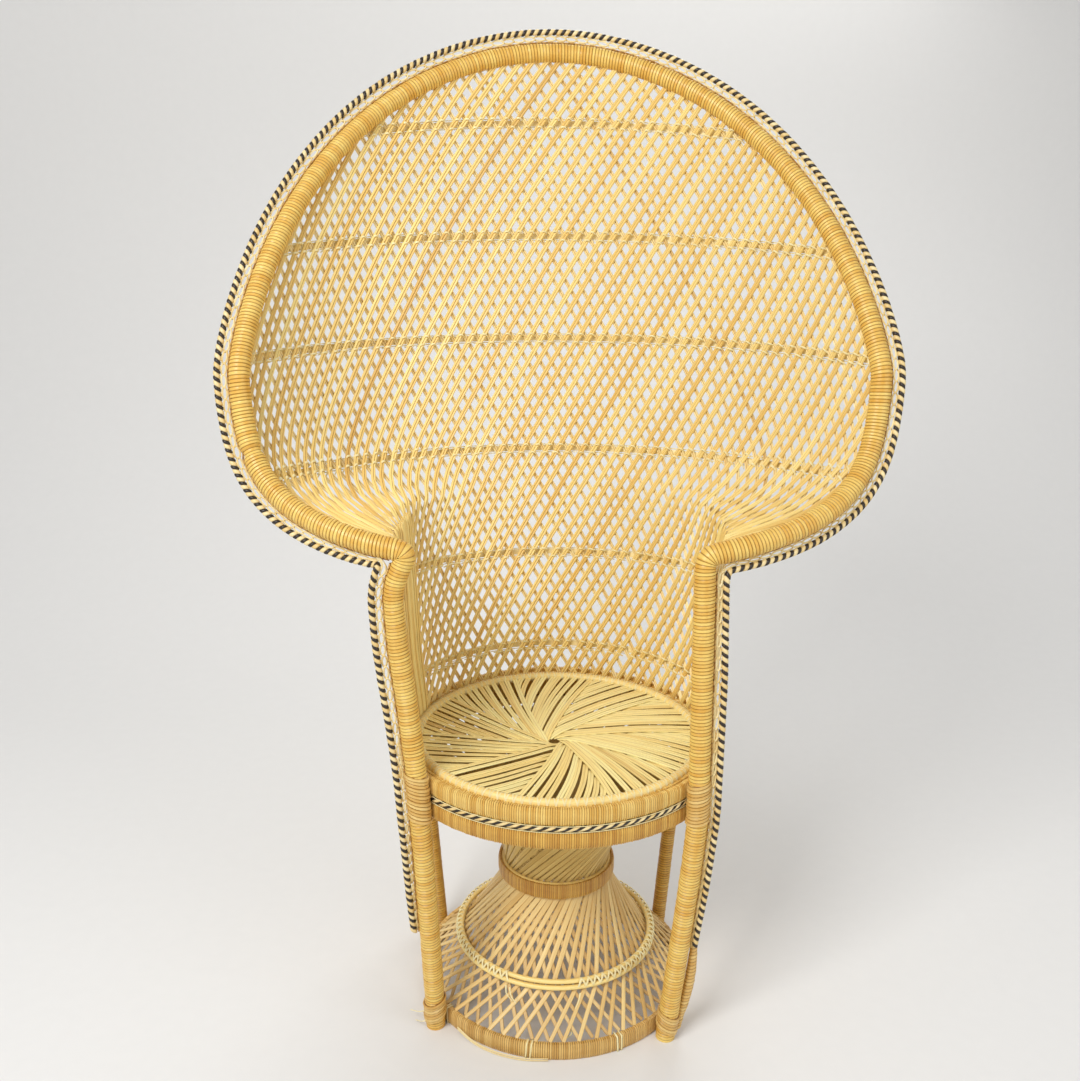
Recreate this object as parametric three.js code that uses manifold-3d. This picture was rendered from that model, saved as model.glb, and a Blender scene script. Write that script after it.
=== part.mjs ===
// Peacock chair in cane-wrapped rattan: an hourglass pedestal carries a round woven seat, and two
// front posts run up into a scallop-shaped hoop that holds the two-layer lattice fan back.
// Millimetres, +Z up, the sitter faces -Y, X runs across the seat.
import * as THREE from 'three';
import { mergeVertices } from 'three/addons/utils/BufferGeometryUtils.js';
import Module from 'manifold-3d';

const wasm = await Module();
wasm.setup();

// Clearance between touching pieces, and how far a cutting tool runs past what it cuts
const CLEARANCE = 0.3;
const OVERRUN = 4;

// Round seat: a flat top, and an apron of two wrapped hoops with a braid between them
const SEAT_HEIGHT = 443;
const APRON_RADIUS = 250;
const APRON_BAND_HEIGHT = 26;
const APRON_BAND_THICKNESS = 11.3;
const BRAID_HEIGHT = 10.5;
const BRAID_STANDOUT = 2.2;
const RIM_ROD_RADIUS = 7;
const SEAT_REED_THICKNESS = 4;
const SEAT_HOLE_RADIUS = 11;
const SEAT_SECTOR_COUNT = 10;
const SEAT_SLITS_PER_SECTOR = 3;
const SEAT_SLIT_WIDTH = 2.6;
const SEAT_SWIRL = THREE.MathUtils.degToRad(-62);
// How far the drum's inner hoop lies below the seat's top, where the back's reeds stand on it
const INNER_HOOP_DROP = 4;
// Corners of a sector's edge and of a slit, as shares of the way from the centre hole to the rim
const SECTOR_EDGE_SHARES = [0, 0.12, 0.3, 0.55, 1];
const SLIT_SHARES = [0.34, 0.6, 0.93];

// Hourglass pedestal
const BASE_RADIUS = 217;
const BASE_HEIGHT = 27;
const BASE_THICKNESS = 11;
const CONE_CORNER_RADIUS = 154;
const CONE_CORNER_HEIGHT = 79;
const MID_ROD_RADIUS = 5;
const WAIST_RADIUS = 94;
const WAIST_BOTTOM = 196;
const WAIST_HEIGHT = 25;
const WAIST_THICKNESS = 4;
const PEDESTAL_REED_WIDTH = 9;
const PEDESTAL_REED_THICKNESS = 3.4;
const REED_SOCKET_DEPTH = 2.5;
const PEDESTAL_REED_COUNT = 20;
const PEDESTAL_LEAN = THREE.MathUtils.degToRad(46);
const NECK_LEAN = THREE.MathUtils.degToRad(38);
const NECK_RING_HEIGHT = 16;
const NECK_RING_THICKNESS = 13;
// Where the neck's reeds bend on their way out to the seat, as shares of their run and their rise
const NECK_BELLY_SHARES = [0.4, 0.6];

// Poles: posts and hoop are one thickness, the rear legs are thinner bare canes
const POLE_RADIUS = 15.5;
const KNOB_RADIUS = 17;
const POLE_SEAT_GAP = 1.2;
const REAR_LEG_RADIUS = 12;
const REAR_LEG_ANGLE = THREE.MathUtils.degToRad(57);
const REAR_LEG_TOP_MARGIN = 6;

// Where each front post stands, as angles round the seat from straight ahead, and the height at which
// it meets the hoop. Made by hand, the two posts are not a mirror pair.
const ARM_HEIGHT = 776;
const LEFT_ARM_RISE = 8;
const POSTS = {
  left: {
    side: -1,
    footAngle: THREE.MathUtils.degToRad(58),
    seatAngle: THREE.MathUtils.degToRad(54.5),
    armHeight: ARM_HEIGHT + LEFT_ARM_RISE,
  },
  right: {
    side: 1,
    footAngle: THREE.MathUtils.degToRad(43.5),
    seatAngle: THREE.MathUtils.degToRad(45),
    armHeight: ARM_HEIGHT,
  },
};

// Back: one sheet of lattice that wraps the seat like a drum and opens into a fan above the arms.
// Flat, it is an arch: straight sides up to the shoulder, then a rounded top.
const BACK_HEIGHT = 1463;
const SHOULDER_HEIGHT = 1002;
const SHEET_HALF_WIDTH = 592;
const ARM_DRUM_RADIUS = 255;
const WING_RADIUS = 488;
const FLARE_HEIGHT = 70;
const FLARE_SHARPNESS = 1.17;
const ARCH_WIDTH_POWER = 1.026;
const ARCH_HEIGHT_POWER = 1.65;
const BACK_LEAN = 116;

// Lattice reeds and the bands that bind them
const REED_WIDTH = 9;
const REED_THICKNESS = 3.6;
const REED_LAYER_GAP = 3;
const REED_PITCH = 84;
const REED_LEAN = THREE.MathUtils.degToRad(31);
const BAND_WIDTH = 13;
const BAND_THICKNESS = 3.2;
const BAND_CLEARANCE = 0.7;
const EDGE_CANE_WIDTH = 8;
const EDGE_CANE_STANDOUT = 0.4;
const EDGE_CANE_GAP = 2;
// Height of each band at the middle of the back and at its ends, as shares of the back's rise
// from the seat to the top of the hoop
const BAND_SHARES = [
  { middle: 0.047, end: 0.062 },
  { middle: 0.207, end: 0.282 },
  { middle: 0.382, end: 0.414 },
  { middle: 0.562, end: 0.566 },
  { middle: 0.723, end: 0.707 },
  { middle: 0.896, end: 0.872 },
];

// Open border outside the hoop and the posts: a rope edge held off by short ties
const BORDER_WIDTH = 24;
const ROPE_RADIUS = 4;
const BORDER_TIE = 3;
const BORDER_TIE_PITCH = 150;
const BORDER_CORNER = 10;
const BORDER_BOTTOM = 150;

// How finely the round forms are faceted, and how many halvings find where a line leaves the sheet
const HOOP_SIDE_STEPS = 9;
const HOOP_ARCH_STEPS = 12;
const HOOP_SIDE_SPACING_POWER = 1.5;
const HOOP_STEPS = 46;
const POST_STEPS = 9;
const REAR_LEG_STEPS = 5;
const ROPE_STEPS = 60;
const POLE_SIDES = 8;
const KNOB_RINGS = 6;
const ROD_SIDES = 6;
const ROPE_SIDES = 5;
const RING_SEGMENTS = 40;
const PEDESTAL_SEGMENTS = 24;
const HALVINGS = 30;

// Rings are faceted: what fits inside one stays within the circle that touches its flats
function clearInside(radius, segments) {
  return radius * Math.cos(Math.PI / segments) - CLEARANCE;
}

// Sizes that follow from the ones above
const APRON_HEIGHT = 2 * APRON_BAND_HEIGHT + BRAID_HEIGHT;
const APRON_INNER = APRON_RADIUS - APRON_BAND_THICKNESS;
const UPPER_BAND_BOTTOM = SEAT_HEIGHT - APRON_BAND_HEIGHT;
const BRAID_BOTTOM = UPPER_BAND_BOTTOM - BRAID_HEIGHT;
const APRON_BOTTOM = SEAT_HEIGHT - APRON_HEIGHT;
const EDGE_CANE_DEPTH = REED_LAYER_GAP + 2 * (REED_THICKNESS + EDGE_CANE_STANDOUT);
const DRUM_RADIUS = clearInside(APRON_INNER - CLEARANCE, RING_SEGMENTS) - EDGE_CANE_DEPTH / 2;
const INNER_HOOP_INNER = DRUM_RADIUS - EDGE_CANE_DEPTH / 2;
const RIM_RADIUS = INNER_HOOP_INNER - CLEARANCE - RIM_ROD_RADIUS;
const SEAT_PANEL_RADIUS = clearInside(RIM_RADIUS - RIM_ROD_RADIUS, RING_SEGMENTS);
const SHEET_RISE = BACK_HEIGHT - SEAT_HEIGHT;
const SHEET_FOOT = SEAT_HEIGHT - INNER_HOOP_DROP + CLEARANCE;
const SHEET_START = SHEET_FOOT - OVERRUN;
const REED_LAYER = (REED_LAYER_GAP + REED_THICKNESS) / 2;
const BAND_LAYER = REED_LAYER_GAP / 2 + REED_THICKNESS + BAND_CLEARANCE + BAND_THICKNESS / 2;
const EDGE_INSET = POLE_RADIUS + EDGE_CANE_GAP + EDGE_CANE_WIDTH / 2;
const BORDER_OFFSET = POLE_RADIUS + BORDER_WIDTH - ROPE_RADIUS;

const caneWrap = new THREE.MeshStandardMaterial({ name: 'cane_wrap', color: 0xe8bf62, roughness: 0.42, metalness: 0 });
const reed = new THREE.MeshStandardMaterial({ name: 'split_reed', color: 0xdcb25c, roughness: 0.55, metalness: 0 });
const apronCane = new THREE.MeshStandardMaterial({ name: 'golden_cane', color: 0xc28f3d, roughness: 0.45, metalness: 0 });
const rope = new THREE.MeshStandardMaterial({ name: 'two_tone_rope', color: 0x8f7b4e, roughness: 0.6, metalness: 0 });
const bareRattan = new THREE.MeshStandardMaterial({ name: 'bare_rattan', color: 0xc59a52, roughness: 0.5, metalness: 0 });

const chair = new THREE.Group();

function addPiece(name, geometry, material) {
  const mesh = new THREE.Mesh(geometry, material);
  mesh.name = name;
  chair.add(mesh);
  return mesh;
}

// A closed mesh as a solid that can be joined and cut, and back again
function solidOf(geometry) {
  const bare = geometry.clone();
  bare.deleteAttribute('normal');
  bare.deleteAttribute('uv');
  const merged = mergeVertices(bare, 1e-4);
  return new wasm.Manifold(new wasm.Mesh({
    numProp: 3,
    vertProperties: new Float32Array(merged.attributes.position.array),
    triVerts: new Uint32Array(merged.index.array),
  }));
}

function geometryOf(solid) {
  const mesh = solid.getMesh();
  const geometry = new THREE.BufferGeometry();
  geometry.setAttribute('position', new THREE.BufferAttribute(new Float32Array(mesh.vertProperties), 3));
  geometry.setIndex(new THREE.BufferAttribute(new Uint32Array(mesh.triVerts), 1));
  geometry.computeVertexNormals();
  return geometry;
}

function join(solids) {
  let row = solids;
  while (row.length > 1) {
    const next = [];
    for (let i = 0; i < row.length; i += 2) {
      next.push(i + 1 < row.length ? row[i].add(row[i + 1]) : row[i]);
    }
    row = next;
  }
  return row[0];
}

// A closed skin over cross-sections that all have the same number of corners
function loft(sections) {
  const corners = sections[0].length;
  const positions = sections.flat().flatMap((p) => [p.x, p.y, p.z]);
  const index = [];
  for (let i = 0; i + 1 < sections.length; i += 1) {
    for (let j = 0; j < corners; j += 1) {
      const a = i * corners + j;
      const b = i * corners + ((j + 1) % corners);
      index.push(a, b, b + corners, a, b + corners, a + corners);
    }
  }
  const last = (sections.length - 1) * corners;
  for (let j = 1; j + 1 < corners; j += 1) {
    index.push(0, j + 1, j, last, last + j, last + j + 1);
  }
  const geometry = new THREE.BufferGeometry();
  geometry.setAttribute('position', new THREE.Float32BufferAttribute(positions, 3));
  geometry.setIndex(index);
  return geometry;
}

// A flat strip along points, lying flat to the normal at each point
function strip(points, normals, width, thickness) {
  const sections = points.map((point, i) => {
    const before = points[Math.max(i - 1, 0)];
    const after = points[Math.min(i + 1, points.length - 1)];
    const along = after.clone().sub(before).normalize();
    const across = new THREE.Vector3().crossVectors(normals[i], along).normalize();
    const up = new THREE.Vector3().crossVectors(along, across);
    return [[-1, -1], [1, -1], [1, 1], [-1, 1]].map(([wide, high]) => point.clone()
      .addScaledVector(across, (wide * width) / 2)
      .addScaledVector(up, (high * thickness) / 2));
  });
  return loft(sections);
}

function roundSection(radius, sides) {
  const points = [];
  for (let i = 0; i < sides; i += 1) {
    const angle = (i / sides) * 2 * Math.PI;
    points.push(new THREE.Vector2(radius * Math.cos(angle), radius * Math.sin(angle)));
  }
  return new THREE.Shape(points);
}

function pole(points, radius, sides, steps) {
  return new THREE.ExtrudeGeometry(roundSection(radius, sides), {
    steps,
    bevelEnabled: false,
    extrudePath: new THREE.CatmullRomCurve3(points, false, 'centripetal'),
  });
}

// A ring turned from a profile given as [radius, height] corners
function ring(profile, segments) {
  const points = profile.map(([radius, height]) => new THREE.Vector2(radius, height));
  points.push(points[0].clone());
  const geometry = new THREE.LatheGeometry(points, segments);
  geometry.rotateX(Math.PI / 2);
  return geometry;
}

function flatRing(inner, outer, bottom, top, segments) {
  return ring([[inner, bottom], [outer, bottom], [outer, top], [inner, top]], segments);
}

// A point at an angle round the seat's axis, measured from straight ahead towards +X
function around(radius, angle, height) {
  return new THREE.Vector3(radius * Math.sin(angle), -radius * Math.cos(angle), height);
}

// The back sheet: s is the distance from its middle line along a level cut, z the height
function drumRadius(z) {
  const rise = THREE.MathUtils.clamp((z - SEAT_HEIGHT) / (ARM_HEIGHT - SEAT_HEIGHT), 0, 1);
  const drum = THREE.MathUtils.lerp(DRUM_RADIUS, ARM_DRUM_RADIUS, rise);
  const flare = Math.max(z - ARM_HEIGHT, 0) / FLARE_HEIGHT;
  return drum + (WING_RADIUS - ARM_DRUM_RADIUS) * (1 - Math.exp(-(flare ** FLARE_SHARPNESS)));
}

function middlePoint(s, z) {
  const radius = drumRadius(z);
  const angle = s / radius;
  const rear = DRUM_RADIUS + (BACK_LEAN * Math.max(z - SEAT_HEIGHT, 0)) / SHEET_RISE;
  return new THREE.Vector3(radius * Math.sin(angle), rear - radius + radius * Math.cos(angle), z);
}

function sheetNormal(s, z) {
  const acrossSheet = middlePoint(s + CLEARANCE, z).sub(middlePoint(s - CLEARANCE, z));
  const upSheet = middlePoint(s, z + CLEARANCE).sub(middlePoint(s, z - CLEARANCE));
  return new THREE.Vector3().crossVectors(upSheet, acrossSheet).normalize();
}

function sheetPoint(s, z, behind = 0) {
  return middlePoint(s, z).addScaledVector(sheetNormal(s, z), behind);
}

// Half the sheet's width at a height, inset from its outline: it follows the post, then the straight
// side, then the arch
function sheetEdge(z, side, inset = 0) {
  if (z < ARM_HEIGHT) {
    const seatAngle = side < 0 ? POSTS.left.seatAngle : POSTS.right.seatAngle;
    const rise = Math.max((z - SEAT_HEIGHT) / (ARM_HEIGHT - SEAT_HEIGHT), 0);
    return THREE.MathUtils.lerp(DRUM_RADIUS * (Math.PI - seatAngle), SHEET_HALF_WIDTH, rise) - inset;
  }
  const arch = THREE.MathUtils.clamp((z - SHOULDER_HEIGHT) / (BACK_HEIGHT - inset - SHOULDER_HEIGHT), 0, 1);
  const turn = Math.asin(arch ** (1 / ARCH_HEIGHT_POWER));
  return (SHEET_HALF_WIDTH - inset) * Math.cos(turn) ** ARCH_WIDTH_POWER;
}

// One side of the outline from a height up to the middle of the arch, as [s, z] places, inset
function outlineSide(side, from, inset) {
  const places = [];
  for (let i = 0; i < HOOP_SIDE_STEPS; i += 1) {
    const share = (i / HOOP_SIDE_STEPS) ** HOOP_SIDE_SPACING_POWER;
    places.push([side * (SHEET_HALF_WIDTH - inset), THREE.MathUtils.lerp(from, SHOULDER_HEIGHT, share)]);
  }
  const archRise = BACK_HEIGHT - inset - SHOULDER_HEIGHT;
  for (let i = 0; i < HOOP_ARCH_STEPS; i += 1) {
    const turn = ((i / HOOP_ARCH_STEPS) * Math.PI) / 2;
    const halfWidth = (SHEET_HALF_WIDTH - inset) * Math.cos(turn) ** ARCH_WIDTH_POWER;
    places.push([side * halfWidth, SHOULDER_HEIGHT + archRise * Math.sin(turn) ** ARCH_HEIGHT_POWER]);
  }
  return places;
}

// The hoop's centre line from the left arm over the top to the right arm
const hoopPoints = [
  ...outlineSide(-1, POSTS.left.armHeight, 0),
  [0, BACK_HEIGHT],
  ...outlineSide(1, POSTS.right.armHeight, 0).reverse(),
].map(([s, z]) => sheetPoint(s, z));

// Front posts and hoop. Each end of the hoop is a rounded knob, and the post is coped to fit under it.
function hoopSolid(extra) {
  const tube = solidOf(pole(hoopPoints, POLE_RADIUS + extra, POLE_SIDES, HOOP_STEPS));
  const knobs = [hoopPoints[0], hoopPoints[hoopPoints.length - 1]].map((end) => {
    const knob = new THREE.SphereGeometry(KNOB_RADIUS + extra, POLE_SIDES, KNOB_RINGS);
    knob.translate(end.x, end.y, end.z);
    return solidOf(knob);
  });
  return join([tube, ...knobs]);
}

function postPoints({ side, footAngle, seatAngle }) {
  const foot = around(BASE_RADIUS + POLE_SEAT_GAP + POLE_RADIUS, side * footAngle, 0);
  const seatClear = APRON_RADIUS + POLE_SEAT_GAP + POLE_RADIUS;
  const underSeat = around(seatClear, side * seatAngle, APRON_BOTTOM);
  const atSeat = around(seatClear, side * seatAngle, SEAT_HEIGHT);
  const arm = side < 0 ? hoopPoints[0] : hoopPoints[hoopPoints.length - 1];
  return [foot, underSeat, atSeat, arm];
}

// All the space under a height, to saw ends level
function blockBelow(height) {
  const size = 2 * (APRON_RADIUS + BASE_RADIUS);
  const block = new THREE.BoxGeometry(size, size, APRON_RADIUS);
  block.translate(0, 0, height - APRON_RADIUS / 2);
  return solidOf(block);
}

// A pole whose lower end is sawn level with the floor
function standingPole(points, radius, sides, steps) {
  const [foot, next] = points;
  const below = foot.clone().sub(next.clone().sub(foot).normalize().multiplyScalar(radius + OVERRUN));
  const whole = solidOf(pole([below, foot, ...points.slice(1)], radius, sides, steps));
  return whole.subtract(blockBelow(0));
}

const hoopRoom = hoopSolid(CLEARANCE);
addPiece('fan_hoop', geometryOf(hoopSolid(0)), caneWrap);

const poleRooms = [hoopRoom];
for (const [name, post] of Object.entries(POSTS)) {
  const points = postPoints(post);
  const solid = standingPole(points, POLE_RADIUS, POLE_SIDES, POST_STEPS).subtract(hoopRoom);
  addPiece(`front_post_${name}`, geometryOf(solid), caneWrap);
  poleRooms.push(standingPole(points, POLE_RADIUS + CLEARANCE, POLE_SIDES, POST_STEPS));
}

function clearOfPoles(solid) {
  return poleRooms.reduce((left, room) => left.subtract(room), solid);
}

// Rear legs: bare canes from the floor to the top of the apron, outside the base ring and the apron
for (const side of [-1, 1]) {
  const angle = side * (Math.PI - REAR_LEG_ANGLE);
  const foot = around(BASE_RADIUS + POLE_SEAT_GAP + REAR_LEG_RADIUS, angle, 0);
  const seatClear = APRON_RADIUS + POLE_SEAT_GAP + REAR_LEG_RADIUS;
  const underSeat = around(seatClear, angle, APRON_BOTTOM);
  const top = around(seatClear, angle, SEAT_HEIGHT - REAR_LEG_TOP_MARGIN);
  const solid = standingPole([foot, underSeat, top], REAR_LEG_RADIUS, POLE_SIDES, REAR_LEG_STEPS);
  addPiece(side < 0 ? 'rear_leg_left' : 'rear_leg_right', geometryOf(solid), bareRattan);
}

// Apron, and the drum's inner hoop and rim rod inside it
addPiece('seat_upper_band', flatRing(
  APRON_INNER, APRON_RADIUS, UPPER_BAND_BOTTOM, SEAT_HEIGHT, RING_SEGMENTS), apronCane);
addPiece('seat_lower_band', flatRing(
  APRON_INNER, APRON_RADIUS, APRON_BOTTOM, BRAID_BOTTOM, RING_SEGMENTS), apronCane);
addPiece('seat_braid', ring([
  [APRON_INNER + BRAID_STANDOUT, BRAID_BOTTOM + CLEARANCE],
  [APRON_RADIUS - BRAID_STANDOUT, BRAID_BOTTOM + CLEARANCE],
  [APRON_RADIUS - CLEARANCE, BRAID_BOTTOM + BRAID_HEIGHT / 2],
  [APRON_RADIUS - BRAID_STANDOUT, UPPER_BAND_BOTTOM - CLEARANCE],
  [APRON_INNER + BRAID_STANDOUT, UPPER_BAND_BOTTOM - CLEARANCE],
], RING_SEGMENTS), rope);
addPiece('seat_inner_hoop', flatRing(
  INNER_HOOP_INNER, INNER_HOOP_INNER + EDGE_CANE_DEPTH, APRON_BOTTOM + NECK_RING_HEIGHT + CLEARANCE,
  SEAT_HEIGHT - INNER_HOOP_DROP, RING_SEGMENTS), bareRattan);
const rimHeight = SEAT_HEIGHT - RIM_ROD_RADIUS / 2;
const rim = new THREE.TorusGeometry(RIM_RADIUS, RIM_ROD_RADIUS, ROD_SIDES, RING_SEGMENTS);
rim.translate(0, 0, rimHeight);
addPiece('seat_rim', rim, bareRattan);

// Pinwheel seat: sectors of flat reeds that swirl from a small centre hole out to the rim, with
// tapering slits between the reeds
function swirlRadius(share) {
  return THREE.MathUtils.lerp(SEAT_HOLE_RADIUS, SEAT_PANEL_RADIUS, share);
}

function swirlPoint(turn, share) {
  const angle = turn + SEAT_SWIRL * share * (2 - share);
  return new THREE.Vector2(swirlRadius(share) * Math.cos(angle), swirlRadius(share) * Math.sin(angle));
}

for (let i = 0; i < SEAT_SECTOR_COUNT; i += 1) {
  const sector = (2 * Math.PI) / SEAT_SECTOR_COUNT;
  const start = i * sector;
  const gapTurn = (share) => CLEARANCE / swirlRadius(share);
  const near = SECTOR_EDGE_SHARES.map((share) => swirlPoint(start + gapTurn(share), share));
  const far = SECTOR_EDGE_SHARES.map((share) => swirlPoint(start + sector - gapTurn(share), share));
  const outerMid = [1, 2].map((k) => swirlPoint(start + (sector * k) / 3, 1));
  const shape = new THREE.Shape([...near, ...outerMid, ...far.reverse()]);
  for (let k = 1; k <= SEAT_SLITS_PER_SECTOR; k += 1) {
    const turn = start + (sector * k) / (SEAT_SLITS_PER_SECTOR + 1);
    const [tip, bend, end] = SLIT_SHARES.map((share) => swirlPoint(turn, share));
    const across = end.clone().sub(bend).normalize().multiplyScalar(SEAT_SLIT_WIDTH / 2);
    const side = new THREE.Vector2(-across.y, across.x);
    shape.holes.push(new THREE.Path([
      tip,
      bend.clone().sub(side),
      end,
      bend.clone().add(side),
    ]));
  }
  const geometry = new THREE.ExtrudeGeometry(shape, { depth: SEAT_REED_THICKNESS, bevelEnabled: false });
  geometry.translate(0, 0, rimHeight - SEAT_REED_THICKNESS / 2);
  addPiece(`seat_sector_${i + 1}`, geometry, reed);
}

// Hourglass pedestal. Its reeds are bound to a ring inside the waist band, and leave it leaning both
// ways below, one way above. A station is a [radius, height] corner of the cone that they lie on.
function coneNormal(stations, i, angle) {
  const before = stations[Math.max(i - 1, 0)];
  const after = stations[Math.min(i + 1, stations.length - 1)];
  return around(after[1] - before[1], angle, before[0] - after[0]).normalize();
}

function pedestalReed(stations, lean, turn) {
  const points = [];
  const normals = [];
  const rise = stations[stations.length - 1][1] - stations[0][1];
  stations.forEach(([radius, height], i) => {
    const angle = turn + (lean * (height - stations[0][1])) / rise;
    points.push(around(radius, angle, height));
    normals.push(coneNormal(stations, i, angle));
  });
  return solidOf(strip(points, normals, PEDESTAL_REED_WIDTH, PEDESTAL_REED_THICKNESS));
}

function reedCrown(stations, lean, count) {
  const solids = [];
  for (let i = 0; i < count; i += 1) {
    solids.push(pedestalReed(stations, lean, (i / count) * 2 * Math.PI));
  }
  return solids;
}

const waistTop = WAIST_BOTTOM + WAIST_HEIGHT;
const waistMiddle = WAIST_BOTTOM + WAIST_HEIGHT / 2;
const coreOuter = WAIST_RADIUS - WAIST_THICKNESS - CLEARANCE;
const reedAtWaist = clearInside(coreOuter, PEDESTAL_SEGMENTS) - PEDESTAL_REED_THICKNESS - REED_SOCKET_DEPTH;
const innerStep = 2 * PEDESTAL_REED_THICKNESS;
const coreInner = reedAtWaist - innerStep - PEDESTAL_REED_THICKNESS;

const reedFootLevel = PEDESTAL_REED_WIDTH / 2 + CLEARANCE;
const lowerStations = [
  [clearInside(BASE_RADIUS - BASE_THICKNESS, RING_SEGMENTS) - REED_SOCKET_DEPTH, reedFootLevel],
  [CONE_CORNER_RADIUS, CONE_CORNER_HEIGHT],
  [reedAtWaist, WAIST_BOTTOM + REED_SOCKET_DEPTH],
];
const lowerInside = lowerStations.map(([radius, height]) => [radius - innerStep, height]);
const lowerReeds = join([
  solidOf(flatRing(coreInner, coreOuter, WAIST_BOTTOM, waistMiddle - CLEARANCE, PEDESTAL_SEGMENTS)),
  ...reedCrown(lowerStations, PEDESTAL_LEAN, PEDESTAL_REED_COUNT),
  ...reedCrown(lowerInside, -PEDESTAL_LEAN, PEDESTAL_REED_COUNT / 2),
]);
addPiece('pedestal_lower_reeds', geometryOf(lowerReeds), reed);

const neckRingOuter = clearInside(APRON_INNER, RING_SEGMENTS);
const neckRingInner = neckRingOuter - NECK_RING_THICKNESS;
const neckRingMiddle = (neckRingInner + neckRingOuter) / 2;
const neckStations = [
  [reedAtWaist, waistTop - REED_SOCKET_DEPTH],
  [
    THREE.MathUtils.lerp(reedAtWaist, neckRingMiddle, NECK_BELLY_SHARES[0]),
    THREE.MathUtils.lerp(waistTop, APRON_BOTTOM, NECK_BELLY_SHARES[1]),
  ],
  [neckRingMiddle, APRON_BOTTOM + REED_SOCKET_DEPTH],
];
const neckReeds = join([
  solidOf(flatRing(coreInner, coreOuter, waistMiddle, waistTop, PEDESTAL_SEGMENTS)),
  solidOf(flatRing(
    neckRingInner, neckRingOuter, APRON_BOTTOM, APRON_BOTTOM + NECK_RING_HEIGHT, PEDESTAL_SEGMENTS)),
  ...reedCrown(neckStations, NECK_LEAN, PEDESTAL_REED_COUNT),
]);
addPiece('pedestal_neck_reeds', geometryOf(neckReeds), reed);
addPiece('waist_band', flatRing(
  WAIST_RADIUS - WAIST_THICKNESS, WAIST_RADIUS, WAIST_BOTTOM, waistTop, PEDESTAL_SEGMENTS), caneWrap);
addPiece('base_ring', flatRing(BASE_RADIUS - BASE_THICKNESS, BASE_RADIUS, 0, BASE_HEIGHT, RING_SEGMENTS), caneWrap);

// Two round rods lashed one above the other round the lower cone, just above its corner
// A reed runs straight between its corners, so between them it lies a little inside the cone
function reedRadius(stations, lean, height) {
  const i = stations.findIndex((station) => station[1] > height) - 1;
  const turnPerHeight = lean / (stations[stations.length - 1][1] - stations[0][1]);
  const [below, above] = [stations[i], stations[i + 1]].map(([r, h]) => around(r, turnPerHeight * h, h));
  const point = below.lerp(above, (height - below.z) / (above.z - below.z));
  return Math.hypot(point.x, point.y);
}

const coneSlope = (CONE_CORNER_RADIUS - reedAtWaist) / (WAIST_BOTTOM + REED_SOCKET_DEPTH - CONE_CORNER_HEIGHT);
const rodStandoff = (PEDESTAL_REED_THICKNESS / 2 + CLEARANCE + MID_ROD_RADIUS) * Math.hypot(1, coneSlope);
['mid_ring_lower', 'mid_ring_upper'].forEach((name, i) => {
  const rise = MID_ROD_RADIUS + i * (2 * MID_ROD_RADIUS + CLEARANCE);
  const reeds = reedRadius(lowerStations, PEDESTAL_LEAN, CONE_CORNER_HEIGHT + rise);
  const radius = (reeds + rodStandoff) / Math.cos(Math.PI / PEDESTAL_SEGMENTS);
  const rod = new THREE.TorusGeometry(radius, MID_ROD_RADIUS, ROD_SIDES, PEDESTAL_SEGMENTS);
  rod.translate(0, 0, CONE_CORNER_HEIGHT + rise);
  addPiece(name, rod, bareRattan);
});

// Lattice back: reeds lean right in front and left behind, with the bands at their back. An edge cane
// inside the hoop and the posts carries the reeds' ends, and its feet and theirs stand on the inner hoop.
function levelHeight(level, s) {
  const end = SEAT_HEIGHT + level.end * SHEET_RISE;
  const bow = (s / sheetEdge(end, s)) ** 2;
  return SEAT_HEIGHT + SHEET_RISE * THREE.MathUtils.lerp(level.middle, level.end, bow);
}

// Level lines on the sheet at which every reed has a corner: the bands, one line between the two
// bands on the drum, and the line of the arms, where the drum opens into the fan
const armLevel = (ARM_HEIGHT - SEAT_HEIGHT) / SHEET_RISE;
const reedLevels = [
  ...BAND_SHARES,
  {
    middle: (BAND_SHARES[0].middle + BAND_SHARES[1].middle) / 2,
    end: (BAND_SHARES[0].end + BAND_SHARES[1].end) / 2,
  },
  { middle: armLevel, end: armLevel },
].sort((a, b) => a.middle - b.middle);

// A reed is a straight line on the flattened sheet
const reedLines = [];
const slope = Math.tan(REED_LEAN);
const reedCount = Math.floor((SHEET_HALF_WIDTH + (slope * SHEET_RISE) / 2) / REED_PITCH);
for (let i = -reedCount; i <= reedCount; i += 1) {
  for (const lean of [1, -1]) {
    const centre = (i + 1 / 4) * lean * REED_PITCH;
    reedLines.push({ lean, place: (z) => centre + lean * slope * (z - SEAT_HEIGHT - SHEET_RISE / 2) });
  }
}

function levelCrossing(place, level) {
  let z = levelHeight(level, 0);
  for (let i = 0; i < HALVINGS; i += 1) z = levelHeight(level, place(z));
  return z;
}

function onSheet(s, z) {
  return z >= SHEET_START && z < BACK_HEIGHT - EDGE_INSET && Math.abs(s) < sheetEdge(z, s, EDGE_INSET);
}

// Halves the way between a value that passes a test and one that fails it
function lastPassing(passing, failing, passes) {
  let [a, b] = [passing, failing];
  for (let k = 0; k < HALVINGS; k += 1) {
    const mid = (a + b) / 2;
    if (passes(mid)) a = mid;
    else b = mid;
  }
  return a;
}

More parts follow.
